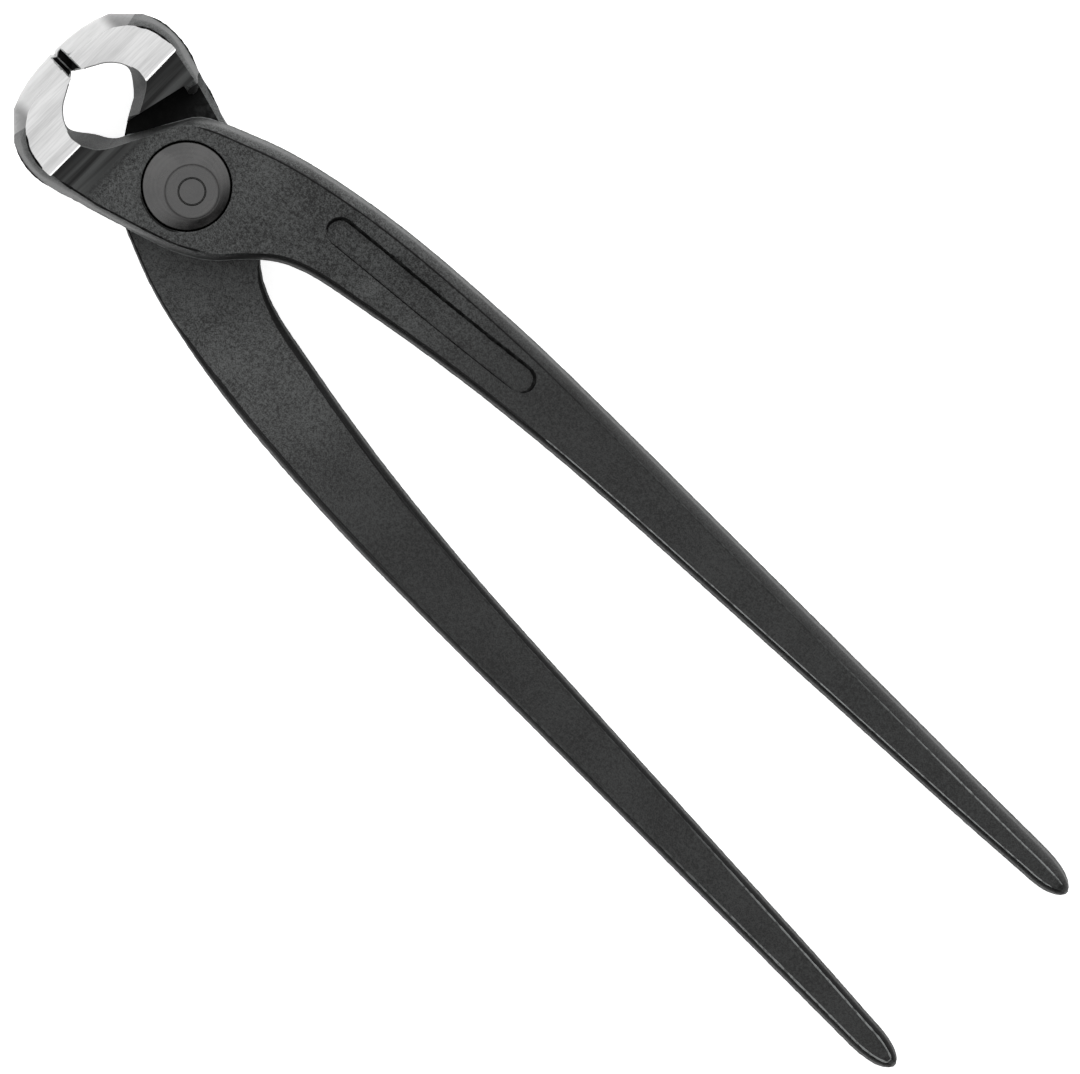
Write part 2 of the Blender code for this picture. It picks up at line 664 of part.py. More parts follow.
def main():
    for item in list(bpy.data.objects):
        bpy.data.objects.remove(item)
    parts = new_collection("rebar_tying_pliers")
    cutters = new_collection("cutting_tools")
    forged = new_material("forged_black_steel", FORGED_BLACK, 0.55)
    turned_steel = new_material("rivet_steel", RIVET_BLACK, 0.42)

    def lever_tools(side):
        return [
            crown_tool(side + "_crown_tool", cutters),
            jaw_plane_tool(side + "_jaw_plane_tool", cutters),
            edge_bevel_tool(side + "_edge_bevel_tool", cutters),
            corner_slot_tool(side + "_front_slot_tool", True, cutters),
            corner_slot_tool(side + "_back_slot_tool", False, cutters),
            lap_tool(side + "_lap_tool", cutters),
            face_tool(side + "_front_face_tool", True, cutters),
            face_tool(side + "_back_face_tool", False, cutters),
        ]

    front_tools = lever_tools("front")
    front_tools.append(front_bore_tool("front_bore_tool", cutters))
    front_tools.append(recess_tool("recess_tool", cutters))
    make_lever("front_lever", 0.0, front_tools, parts, forged)
    rear_tools = lever_tools("rear")
    rear_tools.append(rear_bore_tool("rear_bore_tool", cutters))
    rear = make_lever("rear_lever", REAR_ROOT_FULLNESS, rear_tools, parts, forged)
    turned_over = Matrix.Translation((0, 0, JOINT_THICKNESS)) @ Matrix.Rotation(math.pi, 4, "X")
    for item in rear_tools + [rear]:
        item.matrix_world = turned_over
    make_rivet("pivot_rivet", parts, cutters, turned_steel)


main()
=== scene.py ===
# %% [markdown]
# Rebar tying pliers, dressed as they look in a plain studio.
# The tool is three pieces of steel: two forged levers that cross at a lap joint, and the rivet that
# holds them. The solid model already has their true shape and motion, so this script never moves or
# resizes anything. It gives each surface the finish of the real one: forged and blackened, milled,
# ground bright, turned, or worn. Some colours are painted light and shade: painted shade in the
# slots, bores, deep lap, creases, the crown's corners and on the levers' inner and rear edges, and
# painted highlights on seams, sharp edges and the lip of the lap.
#
# The frame is the tool lying on its back: +X to the ends of the handles, +Y to the side of the
# front lever's handle, +Z out of the front face, and the rivet's axis at x = y = 0.

# %% Load the solid model as a fixed frame
import math

import bmesh
import bpy
from mathutils import Matrix, Vector


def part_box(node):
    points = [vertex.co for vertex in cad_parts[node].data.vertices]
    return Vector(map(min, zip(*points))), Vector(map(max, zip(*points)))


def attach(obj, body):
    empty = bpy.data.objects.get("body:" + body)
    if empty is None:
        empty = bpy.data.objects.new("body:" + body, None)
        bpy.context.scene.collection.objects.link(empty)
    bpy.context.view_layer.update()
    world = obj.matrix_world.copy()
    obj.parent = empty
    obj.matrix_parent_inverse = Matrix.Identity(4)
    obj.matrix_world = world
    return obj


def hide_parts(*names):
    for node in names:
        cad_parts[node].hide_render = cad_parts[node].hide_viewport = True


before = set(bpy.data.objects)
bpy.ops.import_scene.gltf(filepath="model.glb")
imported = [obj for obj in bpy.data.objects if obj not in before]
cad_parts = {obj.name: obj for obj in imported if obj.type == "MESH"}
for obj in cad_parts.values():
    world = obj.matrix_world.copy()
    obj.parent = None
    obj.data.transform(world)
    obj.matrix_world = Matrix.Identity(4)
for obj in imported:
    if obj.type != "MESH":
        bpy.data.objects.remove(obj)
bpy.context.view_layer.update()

MM = 0.001
scene = bpy.context.scene
print("pieces of the frame:", sorted(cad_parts))

# %% [markdown]
# The sizes that the looks need are read off the frame. The front lever's box gives the reach of the
# head and of the handles and the height of the front face. The rear lever is the same forging turned
# over about the X axis, so one function turns points of the rear lever into points of the front one,
# and every rule about surfaces is then written only once.

# %% Sizes read off the frame
front_low, front_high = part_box("front_lever")
_, rear_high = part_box("rear_lever")
THICKNESS = front_high.z
HEAD_LENGTH = -front_low.x
HANDLE_LENGTH = front_high.x
HALF_HEAD = max(-front_low.y, rear_high.y)
MID_PLANE = THICKNESS / 2


def as_front(point, turned_over):
    """The place of a rear lever's point on the front lever, which is the same forging."""
    return Vector((point.x, -point.y, THICKNESS - point.z)) if turned_over else Vector(point)


def way_as_front(way, turned_over):
    return Vector((way.x, -way.y, -way.z)) if turned_over else Vector(way)


print("thickness %.1f mm, head %.1f mm, handles %.1f mm"
      % (THICKNESS / MM, HEAD_LENGTH / MM, HANDLE_LENGTH / MM))

# %% [markdown]
# The photograph looks almost straight down on the tool, through a long lens, and the tool lies
# across the picture from the upper left to the lower right. A camera far away with a long lens gives
# the same flat perspective. Its two picture directions are written in the tool's own frame.

# %% Camera
PICTURE_RIGHT = Vector((0.7074, 0.7068, 0.0))
PICTURE_UP = Vector((-0.7068, 0.7074, 0.0))
PICTURE_WIDTH = 181.04 * MM
PICTURE_CENTRE = Vector((83.39 * MM, 0.25 * MM, MID_PLANE))
CAMERA_DISTANCE = 2.2
CAMERA_LEAN = math.radians(2.0)
SENSOR_WIDTH = 36.0
CLIP_RANGE = (0.1, 20.0)


def added(name, data):
    """A new object in the scene: a camera, a lamp or a mesh."""
    made = bpy.data.objects.new(name, data)
    scene.collection.objects.link(made)
    return made


camera_data = bpy.data.cameras.new("camera")
camera_data.sensor_width = SENSOR_WIDTH
camera_data.lens = SENSOR_WIDTH * CAMERA_DISTANCE / PICTURE_WIDTH
camera_data.clip_start, camera_data.clip_end = CLIP_RANGE
camera = added("camera", camera_data)
towards = Vector((-math.sin(CAMERA_LEAN), 0.0, math.cos(CAMERA_LEAN)))
picture_up = (PICTURE_UP - towards * PICTURE_UP.dot(towards)).normalized()
picture_right = picture_up.cross(towards)
camera.matrix_world = Matrix.Translation(PICTURE_CENTRE + towards * CAMERA_DISTANCE) @ Matrix(
    (picture_right, picture_up, towards)).transposed().to_4x4()
scene.camera = camera
print("camera lens %.0f mm at %.1f m" % (camera_data.lens, CAMERA_DISTANCE))

# %% [markdown]
# Every finish is a node tree on the Principled shader, and Geometry Nodes build the fine lines and
# the rivet. One small class serves both: it adds a node, and sets or joins its sockets by their
# names. A second one starts a finish and knows streaks and grain, which are a noise whose scale is
# given in noise cells per metre, for all directions at once or apart for each.

# %% Helpers for node trees
NOISE_RUN = (0.3, 0.7)
COOL = -0.03


def grey(value, warmth=COOL):
    """Nearly neutral grey, a little cool like phosphated steel, or warm."""
    return (value * (1 + warmth), value * (1 + abs(warmth) / 4), value)


class NodeTree:
    """A node tree under construction, with short ways to add and join nodes."""

    def __init__(self, tree):
        self.tree = tree

    def node(self, kind, settings=None, **sockets):
        made = self.tree.nodes.new(kind)
        for key, value in (settings or {}).items():
            setattr(made, key, value)
        for key, value in sockets.items():
            self.put(made.inputs[key.replace("_", " ")], value)
        return made

    def put(self, socket, value):
        """Joins a socket to another one, or sets its value."""
        if isinstance(value, bpy.types.NodeSocket):
            self.tree.links.new(value, socket)
        elif socket.type == "RGBA":
            socket.default_value = (*value[:3], 1.0)
        else:
            socket.default_value = value

    def math(self, operation, *values):
        made = self.node("ShaderNodeMath", {"operation": operation})
        for socket, value in zip(made.inputs, values):
            self.put(socket, value)
        return made.outputs["Value"]

    def span(self, value, start, end, low=0.0, high=1.0, shape="SMOOTHSTEP"):
        """The value's run from start to end, turned into a run from low to high."""
        made = self.node("ShaderNodeMapRange", {"interpolation_type": shape}, Value=value,
                         From_Min=start, From_Max=end, To_Min=low, To_Max=high)
        return made.outputs["Result"]


class Finish(NodeTree):
    """A material under construction, in the piece's own coordinates."""

    def __init__(self, name):
        self.material = bpy.data.materials.new(name)
        self.material.use_nodes = True
        super().__init__(self.material.node_tree)
        self.shader = self.tree.nodes["Principled BSDF"]
        self.coordinates = self.node("ShaderNodeTexCoord").outputs["Object"]

    def noise(self, cells, detail=3.0, roughness=0.5):
        """Noise between 0 and 1, with this many cells per metre."""
        scale = (cells,) * 3 if isinstance(cells, float) else cells
        mapping = self.node("ShaderNodeMapping", Vector=self.coordinates, Scale=scale)
        made = self.node("ShaderNodeTexNoise", Vector=mapping.outputs["Vector"], Scale=1.0,
                         Detail=detail, Roughness=roughness)
        return made.outputs["Fac"]

    def distance(self, centre):
        """Distance from an upright axis."""
        vector = self.coordinates
        for operation, value in (("SUBTRACT", centre), ("MULTIPLY", (1.0, 1.0, 0.0))):
            made = self.node("ShaderNodeVectorMath", {"operation": operation})
            self.put(made.inputs[0], vector)
            self.put(made.inputs[1], value)
            vector = made.outputs["Vector"]
        length = self.node("ShaderNodeVectorMath", {"operation": "LENGTH"})
        self.put(length.inputs[0], vector)
        return length.outputs["Value"]

    def rings(self, centre, per_metre, detail=3.0):
        """Noise that changes only with the distance from an upright axis, as on turned metal."""
        made = self.node("ShaderNodeTexNoise", {"noise_dimensions": "1D"}, W=self.distance(centre),
                         Scale=per_metre, Detail=detail)
        return made.outputs["Fac"]

    def ring(self, centre, radius, width):
        """1 on one ring round an upright axis, at any height, falling to 0 beside it."""
        off = self.math("ABSOLUTE", self.math("SUBTRACT", self.distance(centre), radius))
        return self.span(off, 0.0, width, 1.0, 0.0)

    def greys(self, value, run, dark, light, warmth=COOL):
        """A grey that follows the value, dark at the start of its run and light at the end."""
        made = self.node("ShaderNodeValToRGB", Fac=value)
        for element, place, level in zip(made.color_ramp.elements, run, (dark, light)):
            element.position = place
            element.color = (*grey(level, warmth), 1.0)
        return made.outputs["Color"]

    def blend(self, *parts):
        """Weighted sum of (value, weight) pairs."""
        total = None
        for value, weight in parts:
            part = self.math("MULTIPLY", value, weight)
            total = part if total is None else self.math("ADD", total, part)
        return total

    def spread(self, value, low, high):
        """The run in which a noise's values mostly lie, turned into a run from low to high."""
        return self.span(value, *NOISE_RUN, low, high, "LINEAR")

    def place(self, axis):
        return self.node("ShaderNodeSeparateXYZ", Vector=self.coordinates).outputs[axis]

    def along(self, axis, start, end):
        """Smooth rise from 0 to 1 between two places along X, Y or Z."""
        return self.span(self.place(axis), start, end)

    def mix(self, first, second, amount):
        """Colour between two colours."""
        made = self.node("ShaderNodeMix", {"data_type": "RGBA"}, Factor=amount)
        sockets = {socket.identifier: socket for socket in (*made.inputs, *made.outputs)}
        self.put(sockets["A_Color"], first)
        self.put(sockets["B_Color"], second)
        return sockets["Result_Color"]

    def bump(self, height, depth):
        return self.node("ShaderNodeBump", Height=height, Strength=1.0, Distance=depth).outputs["Normal"]

    def set(self, **sockets):
        """Joins or sets the shader's sockets, and hands the material over."""
        for key, value in sockets.items():
            self.put(self.shader.inputs[key.replace("_", " ")], value)
        print("finish:", self.material.name)
        return self.material


# %% [markdown]
# Pliers on a bench lie on the back of the joint and on the ends of the handles, so the floor leans
# by a degree and a half under them. Small tools are often photographed on a glowing white table,
# which leaves no shadow and shows white through the hollow of the jaws. Here the floor is a pale
# plane that also glows. It throws a thin light into the steep sides of the forgings.

# %% Pale glowing floor
FLOOR_SIZE = 12.0
FLOOR_GAP = 0.3 * MM
FLOOR_WHITE = 0.93
FLOOR_ROUGHNESS = 0.9
FLOOR_GLOW = 0.80
REST_PLACE = 10.0 * MM
HANDLE_END_SHARE = 0.9


def handle_end_height():
    """Height of the handles' lowest points near their ends."""
    low = THICKNESS
    for name in ("front_lever", "rear_lever"):
        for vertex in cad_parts[name].data.vertices:
            if vertex.co.x > HANDLE_LENGTH * HANDLE_END_SHARE:
                low = min(low, vertex.co.z)
    return low


floor_lean = math.atan2(handle_end_height(), HANDLE_LENGTH - REST_PLACE)
floor_mesh = bpy.data.meshes.new("floor")
shape = bmesh.new()
bmesh.ops.create_grid(shape, x_segments=1, y_segments=1, size=FLOOR_SIZE / 2)
bmesh.ops.transform(shape, verts=shape.verts, matrix=Matrix.Translation((REST_PLACE, 0, -FLOOR_GAP))
                    @ Matrix.Rotation(-floor_lean, 4, "Y"))
shape.to_mesh(floor_mesh)
shape.free()
floor = added("floor", floor_mesh)
floor_mesh.materials.append(Finish("floor_paper").set(
    Base_Color=(FLOOR_WHITE,) * 3, Roughness=FLOOR_ROUGHNESS, Emission_Color=(1.0, 1.0, 1.0),
    Emission_Strength=FLOOR_GLOW))
print("floor leans %.2f degrees" % math.degrees(floor_lean))

# %% [markdown]
# The sky is a big soft tent: bright over the head of the tool and to the picture's upper left,
# fading to a dark side at the lower right. Steel shows its surroundings, so this fade is what gives
# the domed rivet its dark crescent and the bands of the handles their different greys. Two large
# soft lamps add to it: a strong one at the picture's upper left, and a weaker one at the upper
# right, which brings out the rounded edge of the front handle.

# %% Soft tent and lamps
TENT_AXIS = Vector((-0.92, 0.22, 0.30)).normalized()
TENT_DARK = 0.05
TENT_BRIGHT = 1.08
TENT_FADE = (-0.30, 0.12)
# Name, metres to the picture's right, up and above the tool, width in metres, watts.
LAMPS = (("upper_left_lamp", -1.8, 2.2, 1.2, 1.2, 20.0),
         ("upper_right_lamp", 1.8, 1.4, 0.8, 1.0, 9.5))

world = bpy.data.worlds.new("soft_tent")
scene.world = world
world.use_nodes = True
sky = NodeTree(world.node_tree)
along_axis = sky.node("ShaderNodeVectorMath", {"operation": "DOT_PRODUCT"})
sky.put(along_axis.inputs[0], sky.node("ShaderNodeTexCoord").outputs["Generated"])
sky.put(along_axis.inputs[1], TENT_AXIS)
background = sky.tree.nodes["Background"]
sky.put(background.inputs["Color"], (1.0, 1.0, 1.0))
sky.put(background.inputs["Strength"],
        sky.span(along_axis.outputs["Value"], *TENT_FADE, TENT_DARK, TENT_BRIGHT))


def soft_lamp(name, right, up, high, size, power):
    """A round lamp over the tool, turned to it."""
    lamp_data = bpy.data.lights.new(name, "AREA")
    lamp_data.shape = "DISK"
    lamp_data.size = size
    lamp_data.energy = power
    lamp = added(name, lamp_data)
    lamp.location = PICTURE_CENTRE + PICTURE_RIGHT * right + PICTURE_UP * up + Vector((0, 0, high))
    lamp.rotation_euler = (PICTURE_CENTRE - lamp.location).to_track_quat("-Z", "Y").to_euler()
    lamp.visible_camera = False


for lamp in LAMPS:
    soft_lamp(*lamp)
scene.view_settings.view_transform = "Standard"
print("tent from %.2f to %.2f" % (TENT_DARK, TENT_BRIGHT))

# %% [markdown]
# Forged steel leaves the die with a fine grain, is blasted and then blackened in a phosphate bath.
# The coat is matt and grey-black, with light and dark specks about a quarter of a millimetre wide.
# The handles were drawn out thinner, so their skin is darker and more even. One noise gives
# the grain to the colour and the bump, a finer one the specks, a broad one patches, and a gradient
# along X leads from the hub's greys to the handle's. Hands rub the rim of the head. The lip of the
# lap is painted a lighter grey as a painted highlight, and the inner sides and the rear lever's edges
# are painted nearly black as painted shade.

# %% Finishes of the forged skin
GRAIN_CELLS = 1700.0
SPECK_CELLS = 4200.0
PATCH_CELLS = 110.0
SPECKLE_RUN = (0.41, 0.59)
HANDLE_SKIN = (24 * MM, 72 * MM)
HANDLE_TONE = 0.46
HANDLE_QUIET = (0.15, 0.30)
PAINTED_SHADE_HUB = (0.014, 0.105)
PAINTED_SHADE_HANDLE = (0.001, 0.012)
INNER_FADE = (8.0 * MM, 17.0 * MM)
REAR_EDGE_FADE = (-7.0 * MM, 3.0 * MM)


def forged_speckle(finish):
    """The grain left by the die, and the speckle of the coat that lies on it."""
    grain = finish.noise(GRAIN_CELLS, detail=4.0, roughness=0.62)
    patches = finish.noise(PATCH_CELLS)
    specks = finish.noise(SPECK_CELLS, detail=2.0)
    return grain, finish.blend((grain, 0.42), (specks, 0.43), (patches, 0.15))


def on_handle(dark, light):
    """The hub's greys as they are on the handle: darker, and nearer to each other."""
    middle = (dark + light) / 2
    return [(value + (middle - value) * quiet) * HANDLE_TONE
            for value, quiet in zip((dark, light), HANDLE_QUIET)]


def forged_finish(name, hub, handle=None, fade=HANDLE_SKIN, grain_depth=0.05 * MM, specular=0.15):
    """A speckled coat that leads along X from the hub's dark and light grey to the handle's."""
    finish = Finish(name)
    grain, speckle = forged_speckle(finish)
    hub_skin = finish.greys(speckle, SPECKLE_RUN, *hub)
    handle_skin = finish.greys(speckle, SPECKLE_RUN, *(handle or on_handle(*hub)))
    return finish.set(Base_Color=finish.mix(hub_skin, handle_skin, finish.along("X", *fade)),
                      Roughness=finish.spread(grain, 0.50, 0.66),
                      Specular_IOR_Level=specular, Normal=finish.bump(grain, grain_depth))


forged_black = forged_finish("forged_phosphate_black", (0.003, 0.084), grain_depth=0.07 * MM,
                             specular=0.42)
rim_black = forged_finish("rubbed_phosphate_black", (0.018, 0.078), specular=0.48)
# Painted highlight: the lip of the lap is painted a lighter grey.
lip_painted_highlight = forged_finish("rubbed_lap_lip", (0.10, 0.20), specular=0.50)
# Painted shade: the inner sides and the rear lever's edges are painted nearly black.
inner_painted_shade = forged_finish("inner_phosphate_black", PAINTED_SHADE_HUB, PAINTED_SHADE_HANDLE, INNER_FADE)
rear_edge_painted_shade = forged_finish("rear_edge_phosphate_black", PAINTED_SHADE_HUB, PAINTED_SHADE_HANDLE,
                                REAR_EDGE_FADE)

# %% [markdown]
# The neck of the jaw is milled after forging and blackened again, so it is smoother than the
# forging and darker, with cutter marks across the tool that run out softly into the grain of the
# hub. The faces and the end of the jaw are ground last and stay bright. Grinding leaves fine
# straight scratches, here long cells along Y. The corners of the crown are painted darker, a
# painted shade.

# %% Finishes of the milled and the ground faces
MILLED_FADE = (-16.9 * MM, -15.0 * MM)
MILLED_RUN_OUT = (-11.8 * MM, -9.2 * MM)
CUTTER_CELLS = (1100.0, 30.0, 200.0)
WIDE_CUTTER_CELLS = (420.0, 14.0, 80.0)
SCRATCH_CELLS = (3400.0, 150.0, 900.0)
GRINDING_BAND_CELLS = (700.0, 60.0, 160.0)
GRINDING_CLOUD_CELLS = (160.0, 90.0, 120.0)
CORNER_FADE = (8.8 * MM, 11.2 * MM)
CORNER_SHARE = 0.42


def milled_finish():
    finish = Finish("milled_black")
    marks = finish.noise(CUTTER_CELLS)
    streaks = finish.blend((marks, 0.5), (finish.noise(WIDE_CUTTER_CELLS, detail=2.0), 0.5))
    colour = finish.greys(streaks, (0.42, 0.60), 0.003, 0.052)
    colour = finish.mix(grey(0.002), colour, finish.along("X", *MILLED_FADE))
    hub_skin = finish.greys(forged_speckle(finish)[1], SPECKLE_RUN, 0.008, 0.090)
    colour = finish.mix(colour, hub_skin, finish.along("X", *MILLED_RUN_OUT))
    return finish.set(Base_Color=colour, Roughness=finish.spread(streaks, 0.50, 0.36),
                      Specular_IOR_Level=0.24, Normal=finish.bump(marks, 0.012 * MM))


def ground_finish(name, dark, light, painted_shade_corners=False):
    finish = Finish(name)
    scratches = finish.noise(SCRATCH_CELLS, detail=4.0, roughness=0.55)
    bands = finish.noise(GRINDING_BAND_CELLS)
    clouds = finish.noise(GRINDING_CLOUD_CELLS, detail=2.0)
    streaks = finish.blend((scratches, 0.45), (bands, 0.40), (clouds, 0.15))
    colour = finish.greys(streaks, (0.40, 0.60), dark, light, warmth=0.0)
    if painted_shade_corners:
        # Painted shade: the crown's corners are painted darker.
        corner = finish.span(finish.math("ABSOLUTE", finish.place("Y")), *CORNER_FADE)
        colour = finish.mix(colour, grey(dark * CORNER_SHARE, 0.0), corner)
    return finish.set(Base_Color=colour, Roughness=finish.spread(scratches, 0.34, 0.48), Metallic=1.0,
                      Normal=finish.bump(scratches, 0.004 * MM))


milled_black = milled_finish()
ground_steel = ground_finish("ground_bright_steel", 0.58, 0.80)
crown_steel = ground_finish("ground_crown_steel", 0.37, 0.48, painted_shade_corners=True)

# %% [markdown]
# The slots at the ends of the cutting edges, the bores and the deep end of the lap under the shoulder
# are cut steel that was blackened and oiled. Their colour is painted almost black, a painted shade for
# the little light that comes back out of them, and it hardly shines.

# %% Finish of slots, bores and the deep end of the lap
LAP_FADE = (-10.5 * MM, -5.5 * MM)
CUT_CELLS = (500.0, 500.0, 2600.0)
LAP_CELLS = 900.0


def cut_finish():
    finish = Finish("cut_black")
    marks = finish.noise(CUT_CELLS)
    # Painted shade: the cut steel is painted almost black.
    colour = finish.greys(marks, (0.35, 0.65), 0.001, 0.004, warmth=0.0)
    return finish.set(Base_Color=colour, Roughness=finish.spread(marks, 0.6, 0.8),
                      Specular_IOR_Level=0.06)


def lap_finish():
    """Painted shade: black under the shoulder, and grey where the lap opens towards the edge of the tool.
    """
    finish = Finish("lap_black")
    grain = finish.noise(LAP_CELLS, detail=4.0, roughness=0.6)
    open_part = finish.greys(grain, (0.40, 0.62), 0.006, 0.030)
    # Painted shade: black under the shoulder, fading to the open part's grey.
    colour = finish.mix(grey(0.002), open_part, finish.along("X", *LAP_FADE))
    return finish.set(Base_Color=colour, Roughness=finish.spread(grain, 0.6, 0.8),
                      Specular_IOR_Level=0.10, Normal=finish.bump(grain, 0.03 * MM))


cut_black = cut_finish()
lap_black = lap_finish()

# %% [markdown]
# Edges tell more about a forging than its faces. The flash that was trimmed off along the parting line
# leaves a thin seam, painted light grey as a painted highlight, and round the head the same line stayed
# dark. Where the rounded band meets the flat face a fine black line is painted in the crease as painted
# shade. At the slots and at the handles' ends the sharp edges carry a painted highlight, and along the
# handles the crease itself turns from painted shade to a painted highlight towards their ends.
# Each gets a finish of its own, broken up by noise.

# %% Finishes of seams, creases and edges, with painted highlights and painted shade
CREASE_FADE = (52.0 * MM, 92.0 * MM)
TIP_FADE = (128.0 * MM, 166.0 * MM)
LINE_PATCH_CELLS = 900.0
LINE_PATCH_HALF = 0.05


def line_patches(finish):
    return finish.noise(LINE_PATCH_CELLS, roughness=0.6)


def line_finish(name, dark, light, share_light, roughness, metallic=0.0, specular=0.5):
    """Finish of a thin line: patches of a dark and of a light grey."""
    finish = Finish(name)
    middle = 0.62 - 0.24 * share_light
    colour = finish.greys(line_patches(finish), (middle - LINE_PATCH_HALF, middle + LINE_PATCH_HALF),
                          dark, light)
    return finish.set(Base_Color=colour, Roughness=roughness, Metallic=metallic,
                      Specular_IOR_Level=specular)


def handle_edge_finish():
    """Painted shade near the hub, hardly to be seen halfway, and a painted highlight towards the handle's
    end.
    """
    finish = Finish("handle_edge")
    patches = line_patches(finish)
    # Painted highlight: a lighter grey towards the handle's end.
    painted_highlight = finish.greys(patches, (0.38, 0.50), 0.09, 0.22)
    skin = finish.greys(patches, (0.40, 0.60), 0.024, 0.050)
    # Painted shade: nearly black near the hub.
    colour = finish.mix(grey(0.004), skin, finish.along("X", *CREASE_FADE))
    return finish.set(Base_Color=finish.mix(colour, painted_highlight, finish.along("X", *TIP_FADE)),
                      Roughness=0.6, Specular_IOR_Level=0.20)


# Painted highlight: the seam's light grey.
seam_painted_highlight = line_finish("trimmed_seam", 0.08, 0.17, share_light=0.8, roughness=0.45)
# Painted shade: the crease's near-black line.
crease_black = line_finish("crease_black", 0.001, 0.010, share_light=0.4, roughness=0.80, specular=0.12)
parting_black = line_finish("parting_line_black", 0.014, 0.034, share_light=0.5, roughness=0.70,
                            specular=0.16)
# Painted highlight on the edges of the slots and of the handles' ends.
edge_painted_highlight = line_finish("worn_edge", 0.10, 0.23, share_light=0.8, roughness=0.40, metallic=0.4)
handle_edge = handle_edge_finish()

# %% [markdown]
# Each lever shows several finishes on one forging. Instead of painting them, every face of the solid
# is sorted by the tool that made it: its height, its place and the way it faces say whether it was
# ground, milled, cut or left as forged. The same rules pick the faces that are painted darker as
# painted shade, on the inner sides, the rear lever's edges, the slots, bores, shoulder walls and deep
# lap, and the lip of the lap, which is painted lighter as a painted highlight. The rules are written
# for the front lever and serve the rear one through as_front.

# %% Sort the faces of a lever by the tool that made them
GROUND_EDGE = -17.2 * MM
GROUND_LEVEL = 0.6 * MM
GROUND_FILLET = 0.6 * MM
MILLED_END = -9.0 * MM
CROWN_START = -23.0 * MM
CROWN_END_LINE = (Vector((-25.95 * MM, -12.1 * MM, 0.0)), Vector((-26.5 * MM, -14.4 * MM, 0.0)))
SLOT_END = -27.0 * MM
SLOT_DEPTH = 4.7 * MM
FRONT_SLOT_HALF = 0.85 * MM
BACK_SLOT_HALF = 1.45 * MM
CUTTING_EDGE_START = -26.0 * MM
CUTTING_EDGE_HALF = 2.5 * MM
HOLLOW_GROUND_END = -20.6 * MM
SHOULDER_SPAN = (-15.2 * MM, -9.5 * MM)
EAR_OUTSIDE = -14.0 * MM
BORE_RADIUS = 7.9 * MM
RIM_END = -8.0 * MM
RIM_INSIDE = -0.6 * HALF_HEAD
ROOT_SLOPE_END = -11.5 * MM
LAP_BORDER = Vector((-2.0 * MM, 4.0 * MM, 0.0))
LAP_DEEP_SIDE = Vector((-0.8, -0.6, 0.0))
LAP_LIP = Vector((-6.0 * MM, -12.1 * MM, 0.0))
LAP_LIP_SIDE = Vector((0.27, -0.96, 0.0))
LAP_LIP_START = -12.5 * MM
INNER_START = 8.0 * MM
REAR_SHADE_START = -7.0 * MM
LEVEL_FUZZ = 0.03 * MM
LAP_FUZZ = 0.5 * MM
NEAR_FACE = (THICKNESS * 0.1, THICKNESS * 0.9)
BORE_MOUTH = THICKNESS - 0.1 * MM
# The next ones are parts of a face's direction, which go from -1 to 1.
FLAT = 0.98
BAND_LEVEL = 0.97
UPRIGHT = 0.1
CROWN_LEVEL = 0.35
CROWN_TURN = -0.57
FILLET_TURN = 0.05
MILLED_SLOPE = 0.01
SHOULDER_LEAN = 0.3
SHOULDER_TURNS = (0.3, -0.2)
SIDE_TURN = 0.2
ROOT_LEAN = 0.15
FINISHES = {"forged": forged_black, "rim": rim_black, "ground": ground_steel, "crown": crown_steel,
            "milled": milled_black, "cut": cut_black, "lap": lap_black, "inner": inner_painted_shade,
            "rear edge": rear_edge_painted_shade, "lip": lip_painted_highlight}

crown_line = CROWN_END_LINE[1] - CROWN_END_LINE[0]
CROWN_SIDE = Vector((crown_line.y, -crown_line.x, 0.0)).normalized()


def jaw_zone(place, way, near_face):
    """The ground and slotted surfaces of the jaw, or None."""
    x, y, z = place
    level = math.hypot(way.x, way.y)
    if x < SLOT_END and z > THICKNESS - SLOT_DEPTH and y > -FRONT_SLOT_HALF:
        return "cut"
    if x < SLOT_END and z < SLOT_DEPTH and y > -BACK_SLOT_HALF:
        return "cut"
    outside = level > CROWN_LEVEL and (way.x / level < CROWN_TURN or y < RIM_INSIDE)
    if x < CROWN_START and outside and CROWN_SIDE.dot(place - CROWN_END_LINE[0]) > 0:
        return "crown"
    if x > GROUND_EDGE + LEVEL_FUZZ:
        return None
    ground_flat = min(z, THICKNESS - z) > GROUND_LEVEL - LEVEL_FUZZ and abs(way.z) > FLAT
    fillet = x > GROUND_EDGE - GROUND_FILLET and abs(way.y) < FILLET_TURN
    if near_face and (ground_flat or fillet):
        return "ground"
    if x < CUTTING_EDGE_START and y > -CUTTING_EDGE_HALF and abs(way.z) < UPRIGHT:
        return "ground"
    if x < HOLLOW_GROUND_END and y > RIM_INSIDE and abs(way.z) > UPRIGHT:
        return "ground"
    return None


def on_lap(place, way):
    return way.z < -FLAT and abs(place.z - MID_PLANE) < LAP_FUZZ


